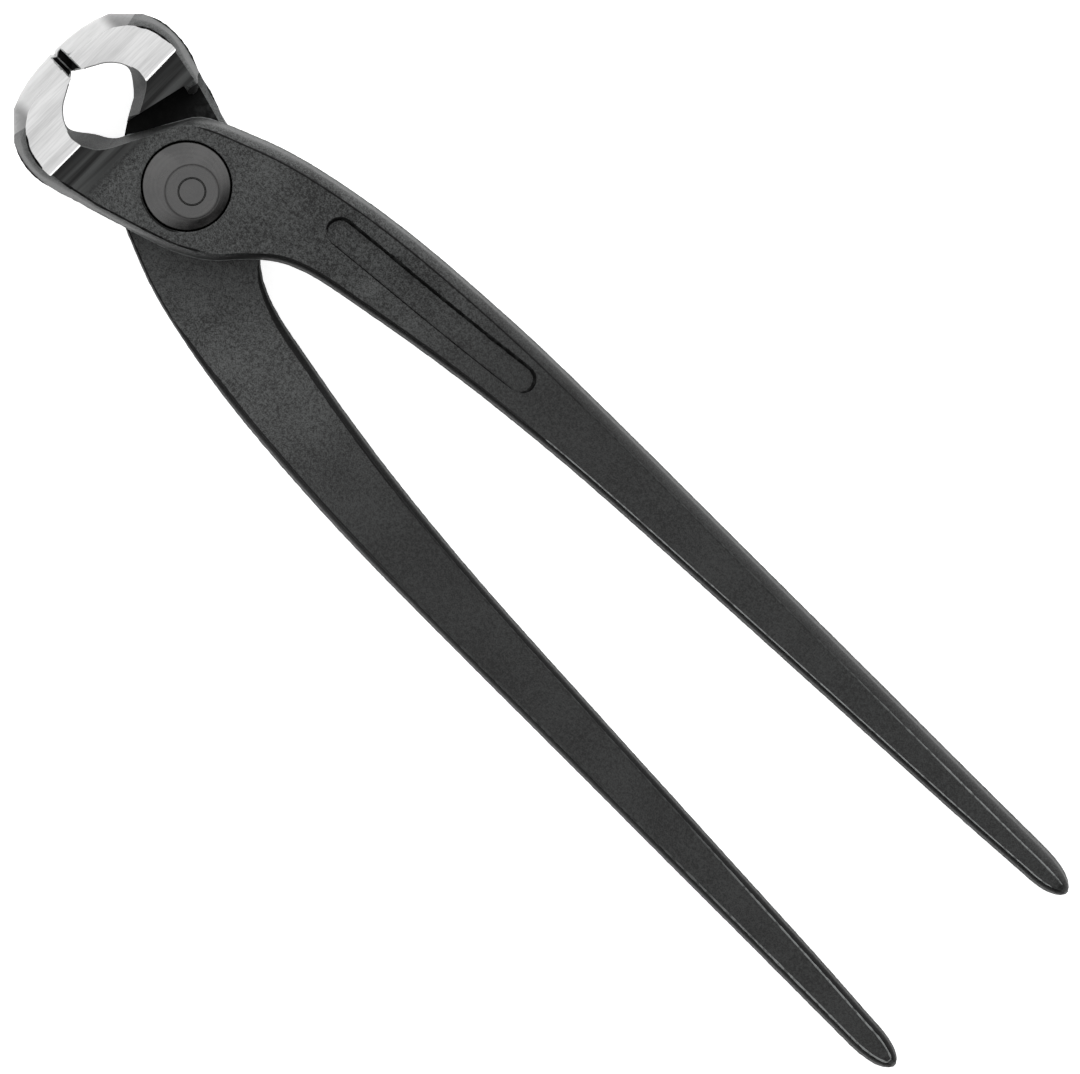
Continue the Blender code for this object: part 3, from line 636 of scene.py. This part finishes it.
def zone(place, way, turned_over):
    """Which finish a face of the front lever has, from its middle and its direction."""
    x, y, z = place
    near_face = not NEAR_FACE[0] <= z <= NEAR_FACE[1]
    found = jaw_zone(place, way, near_face)
    if found:
        return found
    if GROUND_EDGE < x < MILLED_END and near_face and abs(way.z) > FLAT:
        if way.z < 0 or abs(way.x) > MILLED_SLOPE:
            return "milled"
    if on_lap(place, way):
        # Painted highlight on the lip of the lap, painted shade on its deep end.
        if x > LAP_LIP_START and LAP_LIP_SIDE.dot(place - LAP_LIP) > 0:
            return "lip"
        return "lap" if LAP_DEEP_SIDE.dot(place - LAP_BORDER) > 0 else "forged"
    # Painted shade: the shoulder's walls and the bore get the almost black cut finish.
    if SHOULDER_SPAN[0] < x < SHOULDER_SPAN[1] and z < MID_PLANE and abs(way.z) < SHOULDER_LEAN:
        if max(way.x, way.y) > SHOULDER_TURNS[0] and way.x > SHOULDER_TURNS[1] and y > EAR_OUTSIDE:
            return "cut"
    if math.hypot(x, y) < BORE_RADIUS and z < BORE_MOUTH:
        return "cut"
    # Painted shade on the inner sides and on the rear lever's edges.
    if x > INNER_START and way.y < -SIDE_TURN and abs(way.z) < BAND_LEVEL:
        return "inner"
    if turned_over and x > REAR_SHADE_START and way.y > SIDE_TURN and abs(way.z) < BAND_LEVEL:
        return "rear edge"
    if x < RIM_END and y < RIM_INSIDE:
        return "rim"
    if x < ROOT_SLOPE_END and y > RIM_INSIDE and ROOT_LEAN < abs(way.z) < FLAT:
        return "rim"
    return "forged"


# %% [markdown]
# The solid's faces are flat triangles, so its copy is cleaned first: doubles are merged and triangles
# that lie in one plane become one face. Three borders between finishes don't follow an edge of the
# solid: the end of the ground crown, the end of the lap's painted shade and the lip of the lap with
# its painted highlight. So the copy is first cut along them. The mouth of the rivet's counterbore gets
# the small chamfer of a real one, which catches the light. Edges that turn by more than 26 degrees
# stay sharp. The two jaw faces, which stand a hair apart in the solid, are closed up.

# %% A dressed copy of each forging
SAME_PLACE = 0.001 * MM
SHARP_ANGLE = math.radians(26.0)
FLAT_ANGLE = math.radians(0.2)
JAW_FACE_SHIFT = 0.155 * MM
JAW_FACE_END = -26.0 * MM
JAW_FACE_HALF = 0.16 * MM
MOUTH_RADII = (7.5 * MM, 7.8 * MM)
MOUTH_CHAMFER = 0.16 * MM


def settled(piece):
    """The piece with its modifiers turned into plain mesh."""
    bpy.context.view_layer.update()
    evaluated = piece.evaluated_get(bpy.context.evaluated_depsgraph_get())
    mesh = bpy.data.meshes.new_from_object(evaluated)
    piece.modifiers.clear()
    piece.data = mesh
    mesh.name = piece.name
    return piece


def face_as_front(face, turned_over):
    """The middle of a face and the way it faces, on the front lever."""
    return as_front(face.calc_center_median(), turned_over), way_as_front(face.normal, turned_over)


def cut_along(shape, faces, point, way, turned_over):
    """Splits faces where a plane crosses them. The plane is given for the front lever."""
    edges = {edge for face in faces for edge in face.edges}
    corners = {vertex for face in faces for vertex in face.verts}
    bmesh.ops.bisect_plane(shape, geom=[*corners, *edges, *faces], dist=SAME_PLACE,
                           plane_co=as_front(point, turned_over), plane_no=way_as_front(way, turned_over))


def split_borders(shape, turned_over):
    """Cuts the ends of the crown, of the lap's painted shade and of its lip's painted highlight into the
    faces there.
    """
    outside = []
    lap = []
    for face in shape.faces:
        place, way = face_as_front(face, turned_over)
        if place.x < CROWN_START and place.y < RIM_INSIDE and abs(way.z) < FLAT:
            outside.append(face)
        elif on_lap(place, way):
            lap.append(face)
    cut_along(shape, outside, CROWN_END_LINE[0], CROWN_SIDE, turned_over)
    cut_along(shape, lap, LAP_BORDER, LAP_DEEP_SIDE, turned_over)
    lip = [face for face in shape.faces if face.calc_center_median().x < 0
           and abs(face.normal.z) > FLAT and abs(face.calc_center_median().z - MID_PLANE) < LAP_FUZZ]
    cut_along(shape, lip, LAP_LIP, LAP_LIP_SIDE, turned_over)


def chamfer_mouth(shape):
    """Breaks the edge where the rivet's counterbore opens on the front face."""
    mouth = []
    for edge in shape.edges:
        middle = (edge.verts[0].co + edge.verts[1].co) / 2
        radius = math.hypot(middle.x, middle.y)
        upright = sorted(abs(face.normal.z) for face in edge.link_faces)
        if MOUTH_RADII[0] < radius < MOUTH_RADII[1] and upright[0] < UPRIGHT and upright[-1] > FLAT:
            if middle.z > THICKNESS - MM:
                mouth.append(edge)
    bmesh.ops.bevel(shape, geom=mouth, offset=MOUTH_CHAMFER, segments=2, profile=0.5, affect="EDGES")
    print("chamfered edges of the mouth:", len(mouth))


def sort_faces(shape, turned_over):
    """Gives every face the finish of the tool that made it, and returns how many each one has."""
    kinds = list(FINISHES)
    counts = dict.fromkeys(kinds, 0)
    for face in shape.faces:
        found = zone(*face_as_front(face, turned_over), turned_over)
        face.material_index = kinds.index(found)
        face.smooth = True
        counts[found] += 1
    return counts


def forging_copy(node, name, turned_over):
    """A merged copy of a lever's solid with a finish for each face."""
    shape = bmesh.new()
    shape.from_mesh(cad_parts[node].data)
    bmesh.ops.remove_doubles(shape, verts=shape.verts, dist=SAME_PLACE)
    for vertex in shape.verts:
        if vertex.co.x < JAW_FACE_END and abs(vertex.co.y) < JAW_FACE_HALF:
            vertex.co.y -= math.copysign(JAW_FACE_SHIFT, vertex.co.y)
    shape.normal_update()
    split_borders(shape, turned_over)
    counts = sort_faces(shape, turned_over)
    bmesh.ops.dissolve_limit(shape, angle_limit=FLAT_ANGLE, verts=shape.verts, edges=shape.edges,
                             delimit={"MATERIAL"})
    if not turned_over:
        chamfer_mouth(shape)
    shape.normal_update()
    mark_lines(shape, turned_over)
    mesh = bpy.data.meshes.new(name)
    shape.to_mesh(mesh)
    shape.free()
    mesh.set_sharp_from_angle(angle=SHARP_ANGLE)
    for finish in FINISHES.values():
        mesh.materials.append(finish)
    print(name, counts)
    return added(name, mesh)


# %% [markdown]
# The seams, creases and edge highlights run along edges that the forging already has. The copy of the
# forging carries a mark on each such edge, given by rules: the seam is where a side stops leaning
# out and starts to lean in, with a dark outline in its place round the head, a crease or a handle's
# edge is where a rounded band meets the flat face, and the painted edge highlights are on the borders
# of the slots and of the handles' ends. Round the marking recess the upper edge is a crease with a
# black line of painted shade under it, and the lower edge has a faint dark line. At the root of the
# hollow the flash was left thicker.

# %% Mark the edges that carry a line
LINE_KINDS = ("seam", "flash", "outline", "crease", "recess_shade", "faint", "edge_highlight", "handle")
SEAM, FLASH, OUTLINE, CREASE, RECESS_SHADE, FAINT, EDGE_HIGHLIGHT, HANDLE = LINE_KINDS
SEAM_STARTS = {False: -16.0 * MM, True: -4.0 * MM}
RIM_START = -26.0 * MM
FLASH_SPAN = (-13.9 * MM, -11.8 * MM)
BAND_CREASE_START = -12.0 * MM
LOBE_SPAN = (-15.2 * MM, -11.0 * MM)
LIP_OUTLINE_END = -10.4 * MM
HANDLE_START = 12.0 * MM
EDGE_HIGHLIGHT_START = 72.0 * MM
RECESS_SPAN = (18.0 * MM, 67.0 * MM)
RECESS_INSIDE = 9.0 * MM
# The next ones are parts of a direction again, of a face or along an edge.
RECESS_TURN = 0.5
FACE_LEVEL = 0.975
PARTING_LEVEL = 0.9
STEEP = 0.5
WALL_STEEP = 0.4
PARTING_CLIMB = 0.5
BAND_CLIMB = 0.3


def parting_kind(x, outside, turned_over):
    """The line on an edge where a side's lean changes."""
    if x > SEAM_STARTS[turned_over]:
        return SEAM
    return OUTLINE if outside and x > RIM_START else None


def recess_kind(place, low, convex):
    """The line on an edge of the marking recess, with painted shade under its upper wall."""
    if not (RECESS_SPAN[0] < place.x < RECESS_SPAN[1] and place.y > RECESS_INSIDE):
        return None
    # Painted shade: black lines along the upper wall, and a faint one along the lower wall.
    if low.y < -RECESS_TURN or abs(low.x) > RECESS_TURN:
        return CREASE if convex else RECESS_SHADE
    return FAINT if low.y > RECESS_TURN and convex else None


def band_kind(place, low, high, turned_over):
    """The line where a rounded band meets a flat face."""
    # Painted highlight on the inner edges near the handles' ends.
    if place.x > EDGE_HIGHLIGHT_START and low.y < 0 < high.z:
        return EDGE_HIGHLIGHT
    if place.x < EDGE_HIGHLIGHT_START and abs(low.x) > abs(low.y):
        return None
    if place.x > HANDLE_START:
        return HANDLE
    if turned_over and LOBE_SPAN[0] < place.x < LOBE_SPAN[1]:
        return None
    if low.y > 0:
        return HANDLE if place.x > BAND_CREASE_START else None
    return CREASE if place.y < RIM_INSIDE / 2 else None


def line_kind(place, along, ways, kinds, convex, turned_over):
    """The kind of line that an edge of the front lever carries, or None."""
    low, high = sorted(ways, key=lambda way: abs(way.z))
    ground = "ground" in kinds or "crown" in kinds
    # Painted highlight on the edges of the slots.
    if ground and "cut" in kinds:
        return EDGE_HIGHLIGHT if place.x < SLOT_END + MM else None
    if "lap" in kinds and abs(low.z) < STEEP and low.y > 0 and not turned_over:
        return FLASH if FLASH_SPAN[0] < place.x < FLASH_SPAN[1] else None
    if "lip" in kinds and abs(low.z) < STEEP and low.y < 0 and place.x < LIP_OUTLINE_END:
        return OUTLINE
    if set(kinds) & {"cut", "lap", "lip", "crown"}:
        return None
    if {"ground", "milled"} <= set(kinds) or set(kinds) == {"ground"}:
        return None
    if ways[0].z * ways[1].z < 0 and abs(high.z) < PARTING_LEVEL:
        outside = low.y < 0 and high.y < 0
        return parting_kind(place.x, outside, turned_over) if abs(along.z) < PARTING_CLIMB else None
    if abs(high.z) < FACE_LEVEL or abs(along.z) > BAND_CLIMB or abs(low.z) > BAND_LEVEL:
        return None
    if abs(low.z) < WALL_STEEP:
        return recess_kind(place, low, convex) if high.z > 0 else None
    return band_kind(place, low, high, turned_over)


def mark_lines(shape, turned_over):
    """Marks the edges that carry a seam, a crease or an edge highlight."""
    layers = {name: shape.edges.layers.bool.new(name) for name in LINE_KINDS}
    kinds = list(FINISHES)
    counts = dict.fromkeys(layers, 0)
    for edge in shape.edges:
        if len(edge.link_faces) != 2:
            continue
        start, end = (as_front(vertex.co, turned_over) for vertex in edge.verts)
        found = line_kind((start + end) / 2, (end - start).normalized(),
                          [way_as_front(face.normal, turned_over) for face in edge.link_faces],
                          [kinds[face.material_index] for face in edge.link_faces],
                          edge.is_convex, turned_over)
        if found:
            edge[layers[found]] = True
            counts[found] += 1
    print("marked edges:", counts)


front_forging = forging_copy("front_lever", "front_forging", False)
rear_forging = forging_copy("rear_lever", "rear_forging", True)

# %% [markdown]
# Geometry Nodes turn the marked edges into thin beads that stand out of the surface by a part of
# their thickness. A tree is built once: for each kind of line it takes the marked edges as curves,
# resamples them, sinks them against the surface's direction, lets their thickness waver with a noise
# and run out at their ends, sweeps a small circle along them and gives them their finish. The result
# becomes one plain mesh for each lever.

# %% Tools for building geometry trees


class GeometryTree(NodeTree):
    """A geometry node tree under construction."""

    def __init__(self, name):
        super().__init__(bpy.data.node_groups.new(name, "GeometryNodeTree"))
        for side in ("INPUT", "OUTPUT"):
            self.tree.interface.new_socket("Geometry", in_out=side, socket_type="NodeSocketGeometry")
        self.start = self.node("NodeGroupInput")
        self.end = self.node("NodeGroupOutput")
        self.geometry = self.start.outputs["Geometry"]

    def input(self, name, kind, value=None):
        """A named input of the tree."""
        socket = self.tree.interface.new_socket(name, in_out="INPUT", socket_type="NodeSocket" + kind)
        if value is not None:
            socket.default_value = value
        return self.start.outputs[name]

    def floats(self, sizes):
        """Named number inputs, from a table of their names and usual values."""
        return [self.input(name, "Float", value) for name, value in sizes.items()]

    def finish(self, geometry):
        """Ends the tree with real geometry, and hands it over."""
        real = self.node("GeometryNodeRealizeInstances", Geometry=geometry)
        self.put(self.end.inputs["Geometry"], real.outputs["Geometry"])
        return self.tree


def grown(piece, group, values):
    """The piece after a geometry tree with these input values, as plain mesh."""
    modifier = piece.modifiers.new(group.name, "NODES")
    modifier.node_group = group
    for item in group.interface.items_tree:
        if item.item_type == "SOCKET" and item.in_out == "INPUT" and item.name in values:
            modifier[item.identifier] = values[item.name]
    return settled(piece)


# %% The tree of edge lines
LINE_SIZES = {"Step": 0.35 * MM, "Waver": 0.35, "Taper": 3.0 * MM, "Seed": 1.0}
THINNEST = 0.1
WAVER_CELLS = 1100.0
NOISE_MIDDLE = 0.5
NOISE_SPREAD = 4.0
BEAD_SIDES = 8
SURFACE_WAY = "surface way"
# Kind, radius, how deep the bead's middle lies under the edge as a share of the radius, finish.
LINES = ((SEAM, 0.15 * MM, 0.2, seam_painted_highlight), (FLASH, 0.36 * MM, 0.4, seam_painted_highlight),
         (OUTLINE, 0.26 * MM, 0.2, parting_black), (CREASE, 0.20 * MM, 0.6, crease_black),
         (RECESS_SHADE, 0.32 * MM, 0.0, crease_black), (FAINT, 0.10 * MM, 0.5, crease_black),
         (EDGE_HIGHLIGHT, 0.12 * MM, 0.5, edge_painted_highlight), (HANDLE, 0.17 * MM, 0.5, handle_edge))


def edge_line_tree():
    tree = GeometryTree("edge_lines")
    step, waver, taper, seed = tree.floats(LINE_SIZES)
    passed = tree.node("GeometryNodeSplineParameter").outputs["Length"]
    whole = tree.node("GeometryNodeSplineLength").outputs["Length"]
    from_end = tree.math("MINIMUM", passed, tree.math("SUBTRACT", whole, passed))
    share = tree.math("MINIMUM", tree.math("ADD", tree.math("DIVIDE", from_end, taper), THINNEST), 1.0)
    closed = tree.node("GeometryNodeInputSplineCyclic").outputs["Cyclic"]
    ends = tree.math("MAXIMUM", share, closed)
    join = tree.node("GeometryNodeJoinGeometry")
    normal = tree.node("GeometryNodeInputNormal")
    kept = tree.node("GeometryNodeStoreNamedAttribute", {"data_type": "FLOAT_VECTOR",
                                                         "domain": "POINT"},
                     Geometry=tree.geometry, Name=SURFACE_WAY, Value=normal.outputs["Normal"])
    way = tree.node("GeometryNodeInputNamedAttribute", {"data_type": "FLOAT_VECTOR"},
                    Name=SURFACE_WAY)
    for name, radius, sunk, _ in LINES:
        size, depth = tree.floats({name + " radius": radius, name + " sunk": sunk})
        material = tree.input(name + " finish", "Material")
        marked = tree.node("GeometryNodeInputNamedAttribute", {"data_type": "BOOLEAN"}, Name=name)
        curve = tree.node("GeometryNodeMeshToCurve", Mesh=kept.outputs["Geometry"],
                          Selection=marked.outputs["Attribute"])
        resampled = tree.node("GeometryNodeResampleCurve", {"mode": "LENGTH"},
                              Curve=curve.outputs["Curve"], Length=step)
        shift = tree.node("ShaderNodeVectorMath", {"operation": "SCALE"},
                          Scale=tree.math("MULTIPLY", tree.math("MULTIPLY", size, depth), -1.0))
        tree.put(shift.inputs[0], way.outputs["Attribute"])
        even = tree.node("GeometryNodeSetPosition", Geometry=resampled.outputs["Curve"],
                         Offset=shift.outputs["Vector"])
        noise = tree.node("ShaderNodeTexNoise", {"noise_dimensions": "4D"}, Scale=WAVER_CELLS, W=seed)
        off_middle = tree.math("SUBTRACT", noise.outputs["Fac"], NOISE_MIDDLE)
        swing = tree.math("MULTIPLY_ADD", tree.math("MULTIPLY", off_middle, waver), NOISE_SPREAD, 1.0)
        thickness = tree.math("MULTIPLY", tree.math("MULTIPLY", swing, size), ends)
        circle = tree.node("GeometryNodeCurvePrimitiveCircle", Resolution=BEAD_SIDES, Radius=1.0)
        bead = tree.node("GeometryNodeCurveToMesh", Curve=even.outputs["Geometry"],
                         Profile_Curve=circle.outputs["Curve"], Scale=thickness, Fill_Caps=True)
        dressed = tree.node("GeometryNodeSetMaterial", Geometry=bead.outputs["Mesh"],
                            Material=material)
        tree.put(join.inputs["Geometry"], dressed.outputs["Geometry"])
    return tree.finish(join.outputs["Geometry"])


edge_lines = edge_line_tree()


def lines_of(forging, name, seed):
    values = {**LINE_SIZES, "Seed": seed}
    for line, radius, sunk, finish in LINES:
        values.update({line + " radius": radius, line + " sunk": sunk, line + " finish": finish})
    lines = grown(added(name, forging.data.copy()), edge_lines, values)
    print(name, len(lines.data.polygons), "faces")
    return lines


front_lines = lines_of(front_forging, "front_edge_lines", 1.0)
rear_lines = lines_of(rear_forging, "rear_edge_lines", 7.0)

# %% [markdown]
# On the real forging the flats are true and only the bands beside them bend. A Weighted Normal
# modifier shades the copies in the same way: the big flat faces keep their own direction, so that
# light runs cleanly over them and bends only in the rounded bands.

# %% Even out the light on the forgings
for forging in (front_forging, rear_forging):
    weighted = forging.modifiers.new("flat faces rule", "WEIGHTED_NORMAL")
    weighted.mode = "FACE_AREA"
    weighted.keep_sharp = True
    settled(forging)
    print(forging.name, len(forging.data.polygons), "faces")

# %% [markdown]
# The rivet was turned on a lathe: a domed head, a shank and a tail that is spread flush into the back.
# A small flat was ground on the dome, a little off its middle, and a fine ring is pressed into the
# flat. A turned piece is a profile that is spun round an axis. Here Geometry Nodes bend a grid into
# that shape: each row of the grid is one ring, whose radius, centre and height come from a short list
# of profile points. The head's own height is then the lower one of the dome and the ground flat.

# %% Profile of the rivet
HEAD_RADIUS = 7.35 * MM
HEAD_HEIGHT = 2.7 * MM
RIM_CHAMFER = 0.10 * MM
DOME_RISE = 1.3 * MM
SHANK_RADIUS = 4.8 * MM
TAIL_RADIUS = 6.3 * MM
TAIL_DEPTH = 2.6 * MM
FLAT_OFFSET = 1.26 * MM
FLAT_RADIUS = 4.5 * MM
BORDER_DEPTH = 0.08 * MM
MARK_RADIUS = 2.25 * MM
MARK_HALF = 0.17 * MM
MARK_DEPTH = 0.21 * MM
DOME_EDGE = HEAD_RADIUS - RIM_CHAMFER
SPHERE = (DOME_EDGE ** 2 + DOME_RISE ** 2) / (2 * DOME_RISE)
EDGE_ROUND = 0.06 * MM
DOME_RINGS = 8
FLAT_RINGS = 5
MARK_SHAPE = ((1.0, 0.0), (0.1, 1.0), (-0.1, 1.0), (-1.0, 0.0))
INNER_RINGS = (0.66, 0.33, 0.0)


def body_rows():
    """Rings from the middle of the tail to the edge of the head: radius, height."""
    head_low = THICKNESS - HEAD_HEIGHT
    return [(0.0, 0.0), (TAIL_RADIUS - EDGE_ROUND, 0.0), (TAIL_RADIUS, EDGE_ROUND),
            (SHANK_RADIUS, TAIL_DEPTH), (SHANK_RADIUS, head_low), (HEAD_RADIUS - EDGE_ROUND, head_low),
            (HEAD_RADIUS, head_low + EDGE_ROUND),
            (HEAD_RADIUS, THICKNESS - RIM_CHAMFER - EDGE_ROUND),
            (HEAD_RADIUS - EDGE_ROUND / 2, THICKNESS - RIM_CHAMFER)]


def face_rows():
    """Rings from the edge of the dome to its middle: radius, shift towards +X, depth of the mark."""
    rows = []
    for step in range(DOME_RINGS + 1):
        share = step / DOME_RINGS
        rows.append((DOME_EDGE + (FLAT_RADIUS + EDGE_ROUND - DOME_EDGE) * share,
                     FLAT_OFFSET * share, 0.0))
    rows.append((FLAT_RADIUS, FLAT_OFFSET, BORDER_DEPTH))
    start = FLAT_RADIUS - EDGE_ROUND
    end = MARK_RADIUS + MARK_HALF
    for step in range(FLAT_RINGS):
        rows.append((start + (end - start) * step / FLAT_RINGS, FLAT_OFFSET, 0.0))
    for side, depth in MARK_SHAPE:
        rows.append((MARK_RADIUS + MARK_HALF * side, FLAT_OFFSET, MARK_DEPTH * depth))
    for share in INNER_RINGS:
        rows.append((MARK_RADIUS * share, FLAT_OFFSET, 0.0))
    return rows


def rivet_profile():
    """The profile as loose points: X is the radius, Y the shift, Z the height. The head's points
    carry how deep they are sunk, and a mark that their height follows the dome and the flat."""
    points = [(radius, 0.0, height, 0.0, 0.0) for radius, height in body_rows()]
    points += [(radius, shift, 0.0, 1.0, depth) for radius, shift, depth in face_rows()]
    mesh = bpy.data.meshes.new("rivet_profile")
    mesh.from_pydata([point[:3] for point in points], [], [])
    for name, column in (("on_face", 3), ("sunk", 4)):
        values = mesh.attributes.new(name, "FLOAT", "POINT")
        for item, point in zip(values.data, points):
            item.value = point[column]
    print("rings of the rivet:", len(points))
    return mesh


# %% The tree that turns the rivet
TURNING_STEPS = 96
RIVET_SIZES = {"Sphere Radius": SPHERE, "Sphere Centre": THICKNESS + DOME_RISE - SPHERE,
               "Flat Tilt": math.asin(FLAT_OFFSET / SPHERE),
               "Flat Height": math.sqrt(SPHERE ** 2 - FLAT_RADIUS ** 2)}


def turned_rivet_tree(rows):
    tree = GeometryTree("turned_rivet")
    steps = tree.input("Steps", "Int", TURNING_STEPS)
    sphere, centre, tilt, flat = tree.floats(RIVET_SIZES)
    material = tree.input("Finish", "Material")

    grid = tree.node("GeometryNodeMeshGrid", Size_X=steps, Size_Y=float(rows - 1),
                     Vertices_X=tree.math("ADD", steps, 1), Vertices_Y=rows)
    place = tree.node("ShaderNodeSeparateXYZ",
                      Vector=tree.node("GeometryNodeInputPosition").outputs["Position"])
    row = tree.math("ROUND", tree.math("ADD", place.outputs["Y"], (rows - 1) / 2))
    turn = tree.math("DIVIDE", tree.math("MULTIPLY", place.outputs["X"], math.tau), steps)

    def sampled(kind, value):
        found = tree.node("GeometryNodeSampleIndex", {"data_type": kind}, Geometry=tree.geometry,
                          Value=value, Index=row)
        return found.outputs["Value"]

    def carried(name):
        attribute = tree.node("GeometryNodeInputNamedAttribute", {"data_type": "FLOAT"}, Name=name)
        return sampled("FLOAT", attribute.outputs["Attribute"])

    point = tree.node("ShaderNodeSeparateXYZ", Vector=sampled(
        "FLOAT_VECTOR", tree.node("GeometryNodeInputPosition").outputs["Position"]))
    x = tree.math("ADD", tree.math("MULTIPLY", point.outputs["X"], tree.math("COSINE", turn)),
                  point.outputs["Y"])
    y = tree.math("MULTIPLY", point.outputs["X"], tree.math("SINE", turn))
    square = tree.math("SUBTRACT", tree.math("SUBTRACT", tree.math("MULTIPLY", sphere, sphere),
                                             tree.math("MULTIPLY", x, x)),
                       tree.math("MULTIPLY", y, y))
    dome = tree.math("ADD", centre, tree.math("SQRT", square))
    rise = tree.math("DIVIDE", tree.math("SUBTRACT", flat, tree.math(
        "MULTIPLY", x, tree.math("SINE", tilt))), tree.math("COSINE", tilt))
    face = tree.math("SUBTRACT", tree.math("MINIMUM", dome, tree.math("ADD", centre, rise)),
                     carried("sunk"))
    height = tree.math("ADD", point.outputs["Z"], tree.math("MULTIPLY", face, carried("on_face")))
    new_place = tree.node("ShaderNodeCombineXYZ", X=x, Y=y, Z=height)
    bent = tree.node("GeometryNodeSetPosition", Geometry=grid.outputs["Mesh"],
                     Position=new_place.outputs["Vector"])
    closed = tree.node("GeometryNodeMergeByDistance", Geometry=bent.outputs["Geometry"],
                       Distance=SAME_PLACE)
    smooth = tree.node("GeometryNodeSetShadeSmooth", Geometry=closed.outputs["Geometry"])
    dressed = tree.node("GeometryNodeSetMaterial", Geometry=smooth.outputs["Geometry"],
                        Material=material)
    return tree.finish(dressed.outputs["Geometry"])


# %% [markdown]
# The rivet's steel is darkened by the same bath as the levers, but it was turned smooth, so it shines
# more and shows fine rings round its axis. Soft patches of handling make the shine uneven, and a burr
# left by the grinding makes the border of the flat duller.

# %% Finish of the rivet
BORDER_WIDTH = 0.4 * MM
RIVET_AXIS = (0.0, 0.0, 0.0)
TURNING_CELLS = 2600.0
HANDLING_CELLS = 260.0
STEEL_GRAIN_CELLS = 2400.0
WARM = 0.08


def turned_finish():
    finish = Finish("turned_dark_steel")
    rings = finish.rings(RIVET_AXIS, TURNING_CELLS)
    patches = finish.noise(HANDLING_CELLS)
    grain = finish.noise(STEEL_GRAIN_CELLS, detail=2.0)
    marks = finish.blend((rings, 0.22), (patches, 0.58), (grain, 0.20))
    colour = finish.greys(marks, (0.40, 0.60), 0.004, 0.026, WARM)
    border = finish.ring((FLAT_OFFSET, 0.0, 0.0), FLAT_RADIUS, BORDER_WIDTH)
    roughness = finish.blend((finish.spread(patches, 0.12, 0.36), 1.0), (border, 0.5))
    return finish.set(Base_Color=colour, Roughness=roughness,
                      IOR=1.8, Specular_IOR_Level=0.56, Normal=finish.bump(rings, 0.002 * MM))


turned_steel = turned_finish()

# %% Turn the rivet
RIVET_SHARP = math.radians(24.0)


def make_rivet():
    profile = rivet_profile()
    tree = turned_rivet_tree(len(profile.vertices))
    rivet = grown(added("turned_rivet", profile), tree,
                  {**RIVET_SIZES, "Steps": TURNING_STEPS, "Finish": turned_steel})
    shape = bmesh.new()
    shape.from_mesh(rivet.data)
    if shape.calc_volume(signed=True) < 0:
        bmesh.ops.reverse_faces(shape, faces=shape.faces)
    print("rivet: %.0f cubic mm, %d faces, %d open edges" % (
        shape.calc_volume(signed=True) / MM ** 3, len(shape.faces),
        sum(not edge.is_manifold for edge in shape.edges)))
    shape.to_mesh(rivet.data)
    shape.free()
    rivet.data.set_sharp_from_angle(angle=RIVET_SHARP)
    return rivet


rivet = make_rivet()

# %% [markdown]
# Every piece rides on the body that it belongs to. The dressed copies and the turned rivet stand for
# their solids, which stay in the model for collision only.

# %% Put the pieces on their bodies
for piece, node, body, slot in ((front_forging, "front_lever", "front_half", "forged_steel"),
                                (rear_forging, "rear_lever", "rear_half", "forged_steel"),
                                (rivet, "pivot_rivet", "rear_half", "rivet_steel")):
    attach(piece, body)
    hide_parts(node)
for lines, body in ((front_lines, "front_half"), (rear_lines, "rear_half")):
    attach(lines, body)
